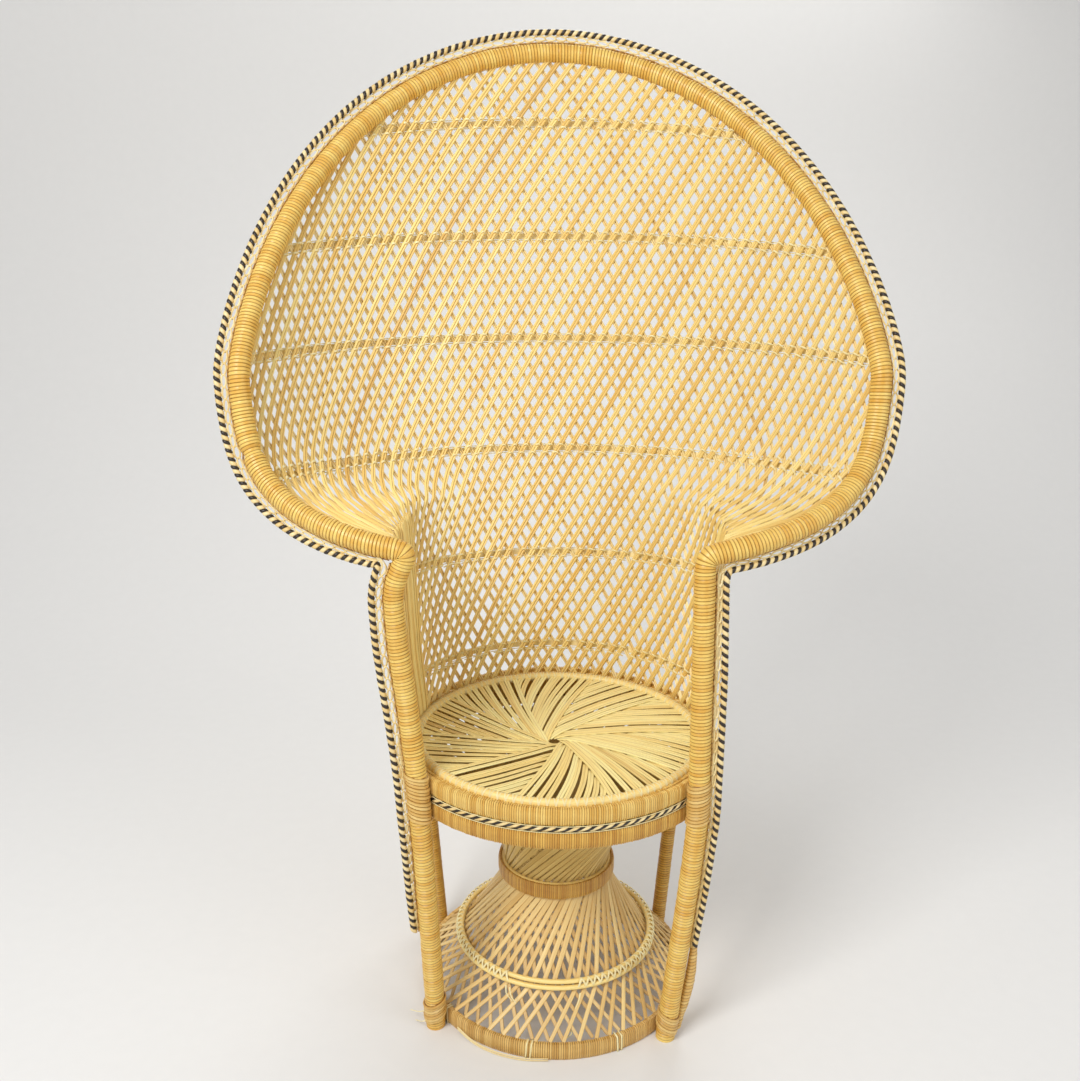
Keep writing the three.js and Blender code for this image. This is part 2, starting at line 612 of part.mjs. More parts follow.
function latticeReed({ lean, place }) {
  const passes = (z) => onSheet(place(z), z);
  const levels = [SHEET_START, ...reedLevels.map((level) => levelCrossing(place, level)), BACK_HEIGHT];
  const inside = levels.filter(passes);
  if (inside.length === 0) return [];
  const first = levels.indexOf(inside[0]);
  const last = levels.indexOf(inside[inside.length - 1]);
  const start = first === 0 ? inside[0] : lastPassing(inside[0], levels[first - 1], passes);
  const end = lastPassing(inside[inside.length - 1], levels[last + 1], passes);
  const corners = inside.filter((z) => z > start + REED_WIDTH && z < end - REED_WIDTH);
  const heights = [start, ...corners, end];
  const points = heights.map((z) => sheetPoint(place(z), z, -lean * REED_LAYER));
  const normals = heights.map((z) => sheetNormal(place(z), z));
  return [solidOf(strip(points, normals, REED_WIDTH, REED_THICKNESS))];
}

function edgeSide(side) {
  const armPlaces = outlineSide(side, ARM_HEIGHT, EDGE_INSET);
  const postPlaces = [];
  for (let i = 0; i < HOOP_SIDE_STEPS; i += 1) {
    const z = THREE.MathUtils.lerp(SHEET_START, ARM_HEIGHT, i / HOOP_SIDE_STEPS);
    postPlaces.push([side * sheetEdge(z, side, EDGE_INSET), z]);
  }
  return [...postPlaces, ...armPlaces];
}

const edgePlaces = [...edgeSide(-1), [0, BACK_HEIGHT - EDGE_INSET], ...edgeSide(1).reverse()];
const edgeCane = strip(
  edgePlaces.map(([s, z]) => sheetPoint(s, z)),
  edgePlaces.map(([s, z]) => sheetNormal(s, z)),
  EDGE_CANE_WIDTH,
  EDGE_CANE_DEPTH,
);
const backReeds = join([solidOf(edgeCane), ...reedLines.flatMap(latticeReed)]);
addPiece('back_reeds', geometryOf(clearOfPoles(backReeds).subtract(blockBelow(SHEET_FOOT))), reed);

// A band is flat across every reed of the rear layer that it crosses, so it lies evenly against them
const crossingHalf = REED_WIDTH / 2 / Math.cos(REED_LEAN);
BAND_SHARES.forEach((level, i) => {
  const ends = [-1, 1].map((side) => side * lastPassing(0, SHEET_HALF_WIDTH, (s) => [-1, 1].every((edge) => {
    const z = levelHeight(level, side * s) + (edge * BAND_WIDTH) / 2;
    return s < sheetEdge(z, side, EDGE_INSET + EDGE_CANE_WIDTH);
  })));
  const crossings = reedLines
    .filter(({ lean }) => lean < 0)
    .map(({ place }) => place(levelCrossing(place, level)))
    .flatMap((s) => [s - crossingHalf, s + crossingHalf])
    .filter((s) => s > ends[0] + CLEARANCE && s < ends[1] - CLEARANCE);
  const places = [...ends, ...crossings].sort((a, b) => a - b);
  const band = strip(
    places.map((s) => sheetPoint(s, levelHeight(level, s), BAND_LAYER)),
    places.map((s) => sheetNormal(s, levelHeight(level, s))),
    BAND_WIDTH,
    BAND_THICKNESS,
  );
  addPiece(`back_band_${i + 1}`, geometryOf(clearOfPoles(solidOf(band))), reed);
});

// Open border: one rope edge runs up beside the left post, round the hoop and down beside the right
// post, and short ties hold it off. Its outer side is always on the left of the way it runs.
function borderRun(points, from, to) {
  const path = new THREE.CatmullRomCurve3(points, false, 'centripetal');
  const length = path.getLength();
  const at = (run, offset) => {
    const out = new THREE.Vector3().crossVectors(path.getTangentAt(run / length), new THREE.Vector3(0, 1, 0));
    return path.getPointAt(run / length).addScaledVector(out.normalize(), offset);
  };
  const run = length - from - to;
  const tieCount = Math.round(run / BORDER_TIE_PITCH);
  const edge = [];
  const ties = [];
  for (let i = 0; i < tieCount; i += 1) {
    const here = from + (run * (i + 1 / 2)) / tieCount;
    edge.push(at(here - run / tieCount / 4, BORDER_OFFSET), at(here + run / tieCount / 4, BORDER_OFFSET));
    const normal = path.getTangentAt(here / length);
    const ends = [at(here, POLE_RADIUS - CLEARANCE), at(here, BORDER_OFFSET)];
    ties.push(solidOf(strip(ends, [normal, normal], BORDER_TIE, BORDER_TIE)));
  }
  const onPole = POLE_RADIUS + ROPE_RADIUS + CLEARANCE;
  return { edge, ties, start: at(from, onPole), end: at(length - to, onPole) };
}

const cornerRun = BORDER_OFFSET + BORDER_CORNER;
const leftBorder = borderRun(postPoints(POSTS.left), BORDER_BOTTOM, cornerRun);
const hoopBorder = borderRun(hoopPoints, cornerRun, cornerRun);
const rightBorder = borderRun(postPoints(POSTS.right).reverse(), cornerRun, BORDER_BOTTOM);
const ropeLine = [
  leftBorder.start, ...leftBorder.edge, ...hoopBorder.edge, ...rightBorder.edge, rightBorder.end,
];
const border = join([
  solidOf(pole(ropeLine, ROPE_RADIUS, ROPE_SIDES, ROPE_STEPS)),
  ...leftBorder.ties,
  ...hoopBorder.ties,
  ...rightBorder.ties,
]);
addPiece('fan_border', geometryOf(clearOfPoles(border)), rope);

// The whole chair stands with the middle of its footprint at the origin
const box = new THREE.Box3().setFromObject(chair);
chair.position.y = -(box.min.y + box.max.y) / 2;
chair.updateMatrixWorld(true);

export default chair;
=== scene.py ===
"""A peacock chair in cane-wrapped rattan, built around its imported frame. Metres, the sitter faces -Y."""
import math
import bpy
import numpy as np
from mathutils import Matrix, Vector


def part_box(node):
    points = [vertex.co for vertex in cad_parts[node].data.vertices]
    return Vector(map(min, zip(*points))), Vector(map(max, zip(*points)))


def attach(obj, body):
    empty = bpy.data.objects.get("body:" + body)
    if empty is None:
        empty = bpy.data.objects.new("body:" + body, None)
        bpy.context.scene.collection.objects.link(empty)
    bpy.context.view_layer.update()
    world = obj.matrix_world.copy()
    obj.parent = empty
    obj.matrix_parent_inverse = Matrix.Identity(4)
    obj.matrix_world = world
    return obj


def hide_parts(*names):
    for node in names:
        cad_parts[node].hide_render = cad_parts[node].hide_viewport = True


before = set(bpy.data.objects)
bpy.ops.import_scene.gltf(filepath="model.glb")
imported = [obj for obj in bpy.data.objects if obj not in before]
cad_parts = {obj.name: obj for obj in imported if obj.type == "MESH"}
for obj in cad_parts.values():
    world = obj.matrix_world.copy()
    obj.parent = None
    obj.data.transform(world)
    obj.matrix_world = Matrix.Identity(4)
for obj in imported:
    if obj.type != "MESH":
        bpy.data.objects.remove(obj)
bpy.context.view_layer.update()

# Camera: a long lens a little left of the chair's middle, above the sitter's head, looking down on the
# seat.
rim_low, rim_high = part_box("seat_rim")
SEAT_Y = (rim_low.y + rim_high.y) / 2
CAMERA_SPOT = Vector((-0.1175, -1.6403 + SEAT_Y, 1.2484))
CAMERA_HEADING = math.radians(3)
CAMERA_DOWN = 0.2936
CAMERA_ROLL = 0.0099
CAMERA_SENSOR = 36
FOCAL_PIXELS = 1150
FRAME_PIXELS = 1080
ahead = Vector((
    math.sin(CAMERA_HEADING) * math.cos(CAMERA_DOWN),
    math.cos(CAMERA_HEADING) * math.cos(CAMERA_DOWN),
    -math.sin(CAMERA_DOWN),
))
level_right = Vector((math.cos(CAMERA_HEADING), -math.sin(CAMERA_HEADING), 0))
level_up = level_right.cross(ahead)
right = level_right * math.cos(CAMERA_ROLL) + level_up * math.sin(CAMERA_ROLL)
up = level_up * math.cos(CAMERA_ROLL) - level_right * math.sin(CAMERA_ROLL)
bpy.ops.object.camera_add()
camera = bpy.context.object
camera.name = "camera"
camera.matrix_world = Matrix.Translation(CAMERA_SPOT) @ Matrix((right, up, -ahead)).transposed().to_4x4()
camera.data.sensor_fit = "HORIZONTAL"
camera.data.sensor_width = CAMERA_SENSOR
camera.data.lens = FOCAL_PIXELS / FRAME_PIXELS * CAMERA_SENSOR
bpy.context.scene.camera = camera
bpy.context.scene.view_settings.view_transform = "Standard"

# Floor and backdrop: one plain sheet of pale paper that lies under the chair and curves up behind it. It is
# the stage, and no piece of the chair.
FLOOR_COLOUR = (0.80, 0.79, 0.77)
FLOOR_HALF = 4.0
FLOOR_RUN = 5.0
FLOOR_BEND = 1.5


class Value:
    """A socket of a material, so that its maths can be written as Python expressions."""

    def __init__(self, finish, socket):
        self.finish = finish
        self.socket = socket

    def maths(self, operation, *others):
        return self.finish.node("ShaderNodeMath", {"operation": operation}, dict(enumerate((self, *others))))

    def __add__(self, other):
        return self.maths("ADD", other)

    def __sub__(self, other):
        return self.maths("SUBTRACT", other)

    def __rsub__(self, other):
        return (self * -1) + other

    def __mul__(self, other):
        return self.maths("MULTIPLY", other)

    def __pow__(self, other):
        return self.maths("POWER", other)

    __radd__ = __add__
    __rmul__ = __mul__


class Finish:
    """A material that is put together node by node."""

    def __init__(self, name):
        self.material = bpy.data.materials.new(name)
        self.material.use_nodes = True
        self.tree = self.material.node_tree
        self.tree.nodes.clear()

    def node(self, kind, settings, sockets, out=0):
        made = self.tree.nodes.new(kind)
        for name, value in settings.items():
            setattr(made, name, value)
        for name, value in sockets.items():
            if isinstance(value, Value):
                self.tree.links.new(value.socket, made.inputs[name])
            elif isinstance(value, tuple) and made.inputs[name].type == "RGBA":
                made.inputs[name].default_value = (*value, 1)
            else:
                made.inputs[name].default_value = value
        return Value(self, made.outputs[out] if made.outputs else None)

    def blend(self, share, one, other):
        return self.node("ShaderNodeMix", {"data_type": "RGBA"}, {0: share, 6: one, 7: other}, 2)

    def shine(self, colour, roughness, height, strength, depth, gloss=0.5):
        """The surface itself, with the small relief that height gives, depth metres high."""
        relief = self.node("ShaderNodeBump", {}, {"Strength": strength, "Distance": depth, "Height": height})
        surface = self.node("ShaderNodeBsdfPrincipled", {}, {
            "Base Color": colour, "Roughness": roughness, "Normal": relief, "Specular IOR Level": gloss})
        self.node("ShaderNodeOutputMaterial", {}, {"Surface": surface})
        return self.material


floor_finish = Finish("studio_floor")
paper = floor_finish.node("ShaderNodeTexCoord", {}, {}, "Object")
speckle = floor_finish.node("ShaderNodeTexNoise", {}, {"Vector": paper, "Scale": 40, "Detail": 3})
paper_tone = floor_finish.blend(speckle, FLOOR_COLOUR, tuple(c * 0.97 for c in FLOOR_COLOUR))
bpy.ops.object.select_all(action="DESELECT")
bpy.ops.mesh.primitive_grid_add(x_subdivisions=2, y_subdivisions=60, size=2)
floor = bpy.context.object
for vertex in floor.data.vertices:
    run = (vertex.co.y + 1) * FLOOR_HALF
    turn = min(max((run - FLOOR_RUN) / FLOOR_BEND, 0), math.pi / 2)
    rest = max(run - FLOOR_RUN - FLOOR_BEND * math.pi / 2, 0)
    vertex.co = (
        vertex.co.x * FLOOR_HALF,
        min(run, FLOOR_RUN) - FLOOR_HALF + FLOOR_BEND * math.sin(turn),
        FLOOR_BEND * (1 - math.cos(turn)) + rest,
    )
floor.name = "studio_floor"
floor.data.materials.append(floor_finish.shine(paper_tone, 0.9, speckle, 0.1, 0.0005, 0.1))
bpy.ops.object.shade_smooth()

# Light: a broad soft lamp high on the left in front, a weaker one on the right, a rim lamp behind and an
# even pale world.
LAMPS = [
    ("key_lamp", (-1.7, -2.3, 3.0), 1.5, 98),
    ("fill_lamp", (2.4, -2.2, 1.6), 2.0, 24),
    ("rear_lamp", (0.6, 2.0, 2.8), 1.8, 30),
]
LAMP_AIM = Vector((0, 0, 0.75))
WORLD_COLOUR = (0.93, 0.94, 0.96)
WORLD_LIGHT = 0.44
for name, spot, size, power in LAMPS:
    bpy.ops.object.light_add(type="AREA", location=spot)
    lamp = bpy.context.object
    lamp.name = name
    lamp.data.size = size
    lamp.data.energy = power
    lamp.rotation_euler = (LAMP_AIM - Vector(spot)).to_track_quat("-Z", "Y").to_euler()
world = bpy.data.worlds.new("studio")
bpy.context.scene.world = world
world.use_nodes = True
sky = world.node_tree.nodes["Background"].inputs
sky["Color"].default_value = (*WORLD_COLOUR, 1)
sky["Strength"].default_value = WORLD_LIGHT

# Pole: one bent rattan cane from the left foot over the fan's top to the right foot, wrapped in flat
# cane. The hoop and the two posts are its three lengths, which meet in the bends at the arms. The hoop
# lies on the back's sheet, which wraps the seat like a drum and opens into a fan above the arms.
SEAT_HEIGHT = 0.443
APRON_BOTTOM = 0.3805
ARM_HEIGHT = 0.776
SHOULDER_HEIGHT = 1.002
BACK_HEIGHT = 1.463
SHEET_HALF_WIDTH = 0.592
SHEET_RISE = BACK_HEIGHT - SEAT_HEIGHT
DRUM_RADIUS = 0.23187
ARM_DRUM_RADIUS = 0.255
WING_RADIUS = 0.488
FLARE_HEIGHT = 0.070
FLARE_SHARPNESS = 1.17
ARCH_WIDTH_POWER = 1.026
ARCH_HEIGHT_POWER = 1.65
ARCH_STEPS = 160
ARM_STEPS = 40
BACK_LEAN = 0.116
POLE_RADIUS = 0.0155
POST_RADIUS = POLE_RADIUS - 0.0003
POST_STAND = 0.2667
POST_FOOT = 0.2337
POST_FOOT_ANGLES = {-1: math.radians(58), 1: math.radians(43.5)}
POST_SEAT_ANGLES = {-1: math.radians(54.5), 1: math.radians(45)}
POST_ARMS = {-1: 0.784, 1: 0.776}
FRONT = (0, -1, 0)
LINE_STEP = 0.002


def around(radius, angle, height):
    """A point round the seat's axis, at an angle from straight ahead."""
    return (radius * math.sin(angle), SEAT_Y - radius * math.cos(angle), height)


def middle_sheet(s, z):
    """The back's sheet at a distance s from its middle line and a height z."""
    rise = np.clip((z - SEAT_HEIGHT) / (ARM_HEIGHT - SEAT_HEIGHT), 0, 1)
    flare = np.maximum(z - ARM_HEIGHT, 0) / FLARE_HEIGHT
    radius = DRUM_RADIUS + (ARM_DRUM_RADIUS - DRUM_RADIUS) * rise
    radius = radius + (WING_RADIUS - ARM_DRUM_RADIUS) * (1 - np.exp(-(flare ** FLARE_SHARPNESS)))
    rear = DRUM_RADIUS + BACK_LEAN * np.maximum(z - SEAT_HEIGHT, 0) / SHEET_RISE
    angle = s / radius
    return np.stack([radius * np.sin(angle), SEAT_Y + rear - radius + radius * np.cos(angle), z + 0 * s], 1)


def sheet_point(s, z, behind=0.0):
    """A point on the sheet, moved off it towards the back."""
    s, z, behind = (np.atleast_1d(np.asarray(v, float)) for v in (s, z, behind))
    s, z, behind = np.broadcast_arrays(s, z, behind)
    tiny = 0.0003
    level = middle_sheet(s + tiny, z) - middle_sheet(s - tiny, z)
    steep = middle_sheet(s, z + tiny) - middle_sheet(s, z - tiny)
    normal = np.cross(steep, level)
    normal /= np.linalg.norm(normal, axis=1)[:, None]
    return middle_sheet(s, z) + normal * behind[:, None]


def sheet_edge(z, side):
    """Half the sheet's width at a height, on the left (-1) or the right (1)."""
    z = np.asarray(z, float)
    seat_angle = np.where(np.asarray(side) < 0, POST_SEAT_ANGLES[-1], POST_SEAT_ANGLES[1])
    rise = np.clip((z - SEAT_HEIGHT) / (ARM_HEIGHT - SEAT_HEIGHT), 0, 1)
    low = DRUM_RADIUS * (math.pi - seat_angle)
    arch = np.clip((z - SHOULDER_HEIGHT) / (BACK_HEIGHT - SHOULDER_HEIGHT), 0, 1)
    turn = np.arcsin(arch ** (1 / ARCH_HEIGHT_POWER))
    return np.where(z < ARM_HEIGHT, low + (SHEET_HALF_WIDTH - low) * rise,
                    SHEET_HALF_WIDTH * np.cos(turn) ** ARCH_WIDTH_POWER)


def smooth_line(points, steps=24):
    """Close points on the smooth line through a few."""
    given = [Vector(p) for p in points]
    given = [given[0] * 2 - given[1], *given, given[-1] * 2 - given[-2]]
    line = []
    for a, b, c, d in zip(given, given[1:], given[2:], given[3:]):
        first, gap, last = ((v - u).length ** 0.5 for u, v in ((a, b), (b, c), (c, d)))
        leave = ((b - a) / first - (c - a) / (first + gap) + (c - b) / gap) * gap
        arrive = ((c - b) / gap - (d - b) / (gap + last) + (d - c) / last) * gap
        for i in range(steps):
            t = i / steps
            line.append(
                b * (2 * t ** 3 - 3 * t ** 2 + 1) + leave * (t ** 3 - 2 * t ** 2 + t)
                + c * (3 * t ** 2 - 2 * t ** 3) + arrive * (t ** 3 - t ** 2))
    line.append(given[-2])
    return np.array([tuple(p) for p in line])


class Line:
    """A line with a side that faces a given way, to bend straight pieces along."""

    def __init__(self, points, face, soften=0.0):
        points = np.asarray(points, float)
        runs = np.concatenate([[0], np.cumsum(np.linalg.norm(np.diff(points, axis=0), axis=1))])
        self.length = runs[-1]
        self.runs = np.linspace(0, self.length, max(int(self.length / LINE_STEP), 8) + 1)
        self.spots = self.spread(points, runs, self.runs)
        if soften:
            reach = int(3 * soften / LINE_STEP)
            weights = np.exp(-((np.arange(-reach, reach + 1) * LINE_STEP / soften) ** 2) / 2)
            weights /= weights.sum()
            after = self.spots[-1] + (self.spots[-1] - self.spots[-2]) * np.arange(1, reach + 1)[:, None]
            before = self.spots[0] - (self.spots[1] - self.spots[0]) * np.arange(reach, 0, -1)[:, None]
            long = np.concatenate([before, self.spots, after])
            self.spots = np.stack([np.convolve(v, weights, "valid") for v in long.T], 1)
        self.along = np.gradient(self.spots, self.runs, axis=0)
        self.along /= np.linalg.norm(self.along, axis=1)[:, None]
        if callable(face):
            face = face(self.spots)
        elif np.shape(face) == points.shape:
            face = self.spread(np.asarray(face, float), runs, self.runs)
        face = np.broadcast_to(np.asarray(face, float), self.spots.shape)
        self.out = face - (face * self.along).sum(1)[:, None] * self.along
        self.out /= np.linalg.norm(self.out, axis=1)[:, None]
        self.across = np.cross(self.along, self.out)

    @staticmethod
    def spread(values, places, wanted):
        return np.stack([np.interp(wanted, places, v) for v in values.T], 1)

    def bend(self, run, across, out):
        """Points at runs along the line, moved across it and out of it."""
        run = np.broadcast_to(run, np.shape(across)).astype(float)
        past = run - np.clip(run, 0, self.length)
        spot, along, aside, outward = (
            self.spread(v, self.runs, run) for v in (self.spots, self.along, self.across, self.out))
        return spot + along * past[:, None] + aside * across[:, None] + outward * np.asarray(out)[:, None]


def take(piece, grain, place):
    """Moves a piece from the bench to its place, and keeps its bench measures as its grain."""
    mesh = piece.data
    bench = np.empty(len(mesh.vertices) * 3)
    mesh.vertices.foreach_get("co", bench)
    bench = bench.reshape(-1, 3)
    layer = mesh.attributes.new("grain", "FLOAT_VECTOR", "POINT")
    layer.data.foreach_set("vector", np.ascontiguousarray(grain(bench), np.float32).ravel())
    mesh.vertices.foreach_set("co", np.ascontiguousarray(place(bench), np.float32).ravel())
    mesh.update()


def edit_edges():
    """Starts to edit the piece's edges, with none of them selected."""
    bpy.ops.object.mode_set(mode="EDIT")
    bpy.ops.mesh.select_mode(type="EDGE")
    bpy.ops.mesh.select_all(action="DESELECT")


def bench_tube(sides, cuts, closed_ends):
    """A round tube of radius 1 on the bench, 1 long from x = 0, with cuts across it."""
    bpy.ops.object.select_all(action="DESELECT")
    bpy.ops.mesh.primitive_cylinder_add(
        vertices=sides, radius=1, depth=1, location=(0.5, 0, 0), rotation=(0, math.pi / 2, 0),
        end_fill_type="NGON" if closed_ends else "NOTHING")
    piece = bpy.context.object
    bpy.ops.object.transform_apply(location=True, rotation=True)
    edit_edges()
    bpy.ops.object.mode_set(mode="OBJECT")
    spots = piece.data.vertices
    for edge in piece.data.edges:
        first, second = (spots[i].co.x for i in edge.vertices)
        edge.select = abs(first - second) > 0.5
    bpy.ops.object.mode_set(mode="EDIT")
    bpy.ops.mesh.subdivide(number_cuts=cuts)
    bpy.ops.object.mode_set(mode="OBJECT")
    return piece


def repeat(piece, count, offset, merge=False):
    """Copies a piece along the bench."""
    array = piece.modifiers.new("copies", "ARRAY")
    array.count = count
    array.use_relative_offset = False
    array.use_constant_offset = True
    array.constant_offset_displace = offset
    array.use_merge_vertices = merge
    array.merge_threshold = 0.0001
    bpy.ops.object.modifier_apply(modifier=array.name)


TURN_SHARES = (0.0, 0.2, 0.8, 1.0)
PLAIN_SHARES = tuple(i / 50 for i in range(51))


def wound(turns, sides, dip, ring, shares):
    """Turns of cane side by side on the bench: turn number along x, radius 1, a groove between turns."""
    piece = bench_tube(sides, len(shares) - 2, closed_ends=False)
    for vertex in piece.data.vertices:
        step = round(vertex.co.x * (len(shares) - 1))
        vertex.co.x = shares[step]
        if step in (0, len(shares) - 1):
            vertex.co.y *= 1 - dip
            vertex.co.z *= 1 - dip
    repeat(piece, turns, (1, 0, 0), merge=True)
    if not ring:
        edit_edges()
        bpy.ops.mesh.select_non_manifold()
        bpy.ops.mesh.edge_face_add()
        bpy.ops.object.mode_set(mode="OBJECT")
    return piece


def wind(line, turns, wide, deep, sides, dip, span=None, slant=0.0, square=0.0, uneven=0.0, seed=1,
         odd_share=0.5, wide_off=0.0, ring=False, shares=TURN_SHARES):
    """Winds turns along a line, or along a span of it. Wide and deep are half the section. Square makes it
    less round, odd_share is the first of each two turns' share of them, and wide_off moves the whole off
    the line."""
    piece = wound(turns, sides, dip, ring, shares)
    start, end = span or (0, line.length)
    chance = np.random.default_rng(seed).uniform(-1, 1, (turns + 2, 2))

    def at(size, share):
        return size(share) if callable(size) else size

    def place(bench):
        number = np.clip(np.floor(bench[:, 0] + 1e-4).astype(int), 0, turns)
        within = bench[:, 0] - number
        odd = number % 2
        width = np.where(odd, 2 * odd_share + within * (2 - 2 * odd_share), within * 2 * odd_share)
        share = (number - odd + width) / turns
        middle = ((within > 0.1) & (within < 0.9))[:, None]
        wobble = np.where(middle, chance[number], 0)
        run = start + (end - start) * share
        radius = np.hypot(bench[:, 1], bench[:, 2])
        boxy = np.maximum(np.abs(bench[:, 1] / radius), np.abs(bench[:, 2] / radius))
        swell = (1 + uneven * wobble[:, 0]) * (1 + square * (1 / boxy - 1))
        sideways = bench[:, 1] * at(wide, share) * swell
        outward = bench[:, 2] * at(deep, share) * swell
        run = run + slant * sideways + uneven * 0.2 * wobble[:, 1] * sideways
        return line.bend(run, sideways + at(wide_off, share), outward)

    take(piece, lambda bench: bench, place)
    return piece


def cut_level(height, keep_above):
    """Cuts the piece in hand level at a height, closes the cut and drops what is past it."""
    bpy.ops.object.mode_set(mode="EDIT")
    bpy.ops.mesh.select_all(action="SELECT")
    bpy.ops.mesh.bisect(
        plane_co=(0, 0, height), plane_no=(0, 0, 1), use_fill=True,
        clear_inner=keep_above, clear_outer=not keep_above)
    bpy.ops.object.mode_set(mode="OBJECT")


def done(piece, name, material, slot, *nodes, angle=50):
    """Closes a piece's mesh, names it, gives it its finish and fixes it to the chair."""
    bpy.ops.object.mode_set(mode="EDIT")
    bpy.ops.mesh.select_all(action="SELECT")
    bpy.ops.mesh.remove_doubles(threshold=0.00005)
    bpy.ops.mesh.normals_make_consistent(inside=False)
    bpy.ops.object.mode_set(mode="OBJECT")
    piece.name = name
    piece.data.name = name
    piece.data.materials.clear()
    piece.data.materials.append(material)
    bpy.ops.object.select_all(action="DESELECT")
    piece.select_set(True)
    bpy.context.view_layer.objects.active = piece
    bpy.ops.object.shade_smooth_by_angle(angle=math.radians(angle))
    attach(piece, "root")
    if nodes:
        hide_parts(*nodes)


class CaneFinish(Finish):
    """A finish that follows a piece's grain, its own measures from the bench."""

    def grain(self):
        layer = self.node("ShaderNodeAttribute", {"attribute_name": "grain"}, {}, "Vector")
        return [self.node("ShaderNodeSeparateXYZ", {}, {0: layer}, i) for i in range(3)]

    def chance(self, number):
        return self.node("ShaderNodeTexWhiteNoise", {"noise_dimensions": "1D"}, {"W": number})

    def noise(self, x, y, z, scale, detail, roughness=0.5):
        spot = self.node("ShaderNodeCombineXYZ", {}, {0: x, 1: y, 2: z})
        return self.node("ShaderNodeTexNoise", {}, {
            "Vector": spot, "Scale": scale, "Detail": detail, "Roughness": roughness})

    def stretch(self, value, low, high):
        """A value from 0 at low to 1 at high."""
        return self.node("ShaderNodeMapRange", {}, {"Value": value, "From Min": low, "From Max": high})


def wound_cane(name, pale, warm, deep, roughness=0.36, patch=0.45, groove=0.75):
    """Flat cane wound turn by turn: each turn has its own tone, and painted shade darkens the grooves between
    them.
    """
    finish = CaneFinish(name)
    turn, aside, outward = finish.grain()
    number = turn.maths("FLOOR")
    chance = finish.chance(number)
    slow = finish.noise(turn * 0.05, aside * 0.8, outward * 0.8, 1.6, 3)
    fibre = finish.noise(turn * 7, aside * 1.5, outward * 1.5, 2.2, 4, 0.65)
    tone = finish.stretch(chance * (1 - patch) + slow * patch * 1.6 - 0.3 * patch, 0.15, 0.95)
    colour = finish.blend(tone, pale, warm)
    dusky = tuple(0.45 * w + 0.55 * d for w, d in zip(warm, deep))
    colour = finish.blend(finish.stretch(fibre, 0.35, 0.75) * 0.42, colour, dusky)
    # Painted shade: the colour darkens towards each turn's two edges, in the groove between turns.
    edge = (turn - number - 0.5).maths("ABSOLUTE") * 2
    colour = finish.blend(edge ** 5 * groove, colour, deep)
    return finish.shine(colour, fibre * 0.25 + (roughness - 0.1), fibre, 0.35, 0.0004, 0.45)


def arm_rise(side):
    """The hoop's upright length from an arm to the shoulder, on the flattened sheet."""
    rise = SHOULDER_HEIGHT - POST_ARMS[side]
    return [(side * SHEET_HALF_WIDTH, POST_ARMS[side] + rise * (i / ARM_STEPS) ** 1.5)
            for i in range(ARM_STEPS)]


arch = []
for i in range(ARCH_STEPS + 1):
    turn = math.pi * i / ARCH_STEPS
    half = abs(math.cos(turn)) ** ARCH_WIDTH_POWER * SHEET_HALF_WIDTH
    arch.append((
        -half if turn < math.pi / 2 else half,
        SHOULDER_HEIGHT + (BACK_HEIGHT - SHOULDER_HEIGHT) * math.sin(turn) ** ARCH_HEIGHT_POWER))
hoop_places = np.array([*arm_rise(-1), *arch, *reversed(arm_rise(1))])
hoop_spots = sheet_point(hoop_places[:, 0], hoop_places[:, 1])


def post_spots(side):
    """The post's line from under the floor to the arm."""
    seat_angle = side * POST_SEAT_ANGLES[side]
    foot = Vector(around(POST_FOOT, side * POST_FOOT_ANGLES[side], 0))
    under = Vector(around(POST_STAND, seat_angle, APRON_BOTTOM))
    seat = Vector(around(POST_STAND, seat_angle, SEAT_HEIGHT))
    below = foot + (foot - under).normalized() * 0.03
    arm = Vector(hoop_spots[0 if side < 0 else -1])
    return smooth_line([below, foot, under, seat, arm], 30)


# The left post isn't straight: it stands further in below the seat and bows out above it, and its knob
# leans back in.
BOW_HEIGHTS = (0, 0.08, 0.18, 0.335, 0.40, 0.478, 0.555, 0.60, 0.65, 0.72, 0.740, 0.760, 0.784)
BOW_ASIDE = (
    0.0040, 0.0070, 0.0085, 0.0095, 0.0075, 0.0020, -0.0042, -0.0082, -0.0132, -0.0162, -0.0128, -0.0040,
    0.0080)
BOW_FORWARD = 1.2
BOW_FORWARD_TOP = SEAT_HEIGHT + 0.1
KNOB_REACH = 0.026
left_post, right_post = post_spots(-1), post_spots(1)[::-1]
left_bow = np.interp(left_post[:, 2], BOW_HEIGHTS, BOW_ASIDE)
left_post[:, 0] += left_bow
left_post[:, 1] -= BOW_FORWARD * np.where(left_post[:, 2] < BOW_FORWARD_TOP, np.maximum(left_bow, 0), 0)
knob_gap = np.linalg.norm(hoop_spots - hoop_spots[0], axis=1)
hoop_spots[:, 0] += BOW_ASIDE[-1] * np.exp(-(knob_gap / KNOB_REACH) ** 2)
pole_line = Line(np.concatenate([left_post[:-1], hoop_spots, right_post[1:]]), FRONT, soften=0.011)
left_arm = Line(left_post, FRONT).length
right_arm = pole_line.length - Line(right_post, FRONT).length

# Pole's wrap: flat cane in close turns. It is thinnest left of the fan's top and below the left knob, with a
# short bare notch low on the hoop's left.
TURN_PITCH = 0.0050
HOOP_RADII = (0.0155, 0.0150, 0.0146, 0.0142, 0.0146, 0.0146, 0.0150, 0.0152, 0.0155)
BARE_SHARE = 0.117
BARE_REACH = 0.0022
BARE_DEPTH = 0.0032
LEFT_POST_SHARES = (0, 0.78, 0.9, 0.96, 1)
LEFT_POST_SIZES = (1, 1, 0.91, 0.94, 1.04)
BEND_OVERLAP = 0.004
FLOOR_CUT = 0.0002


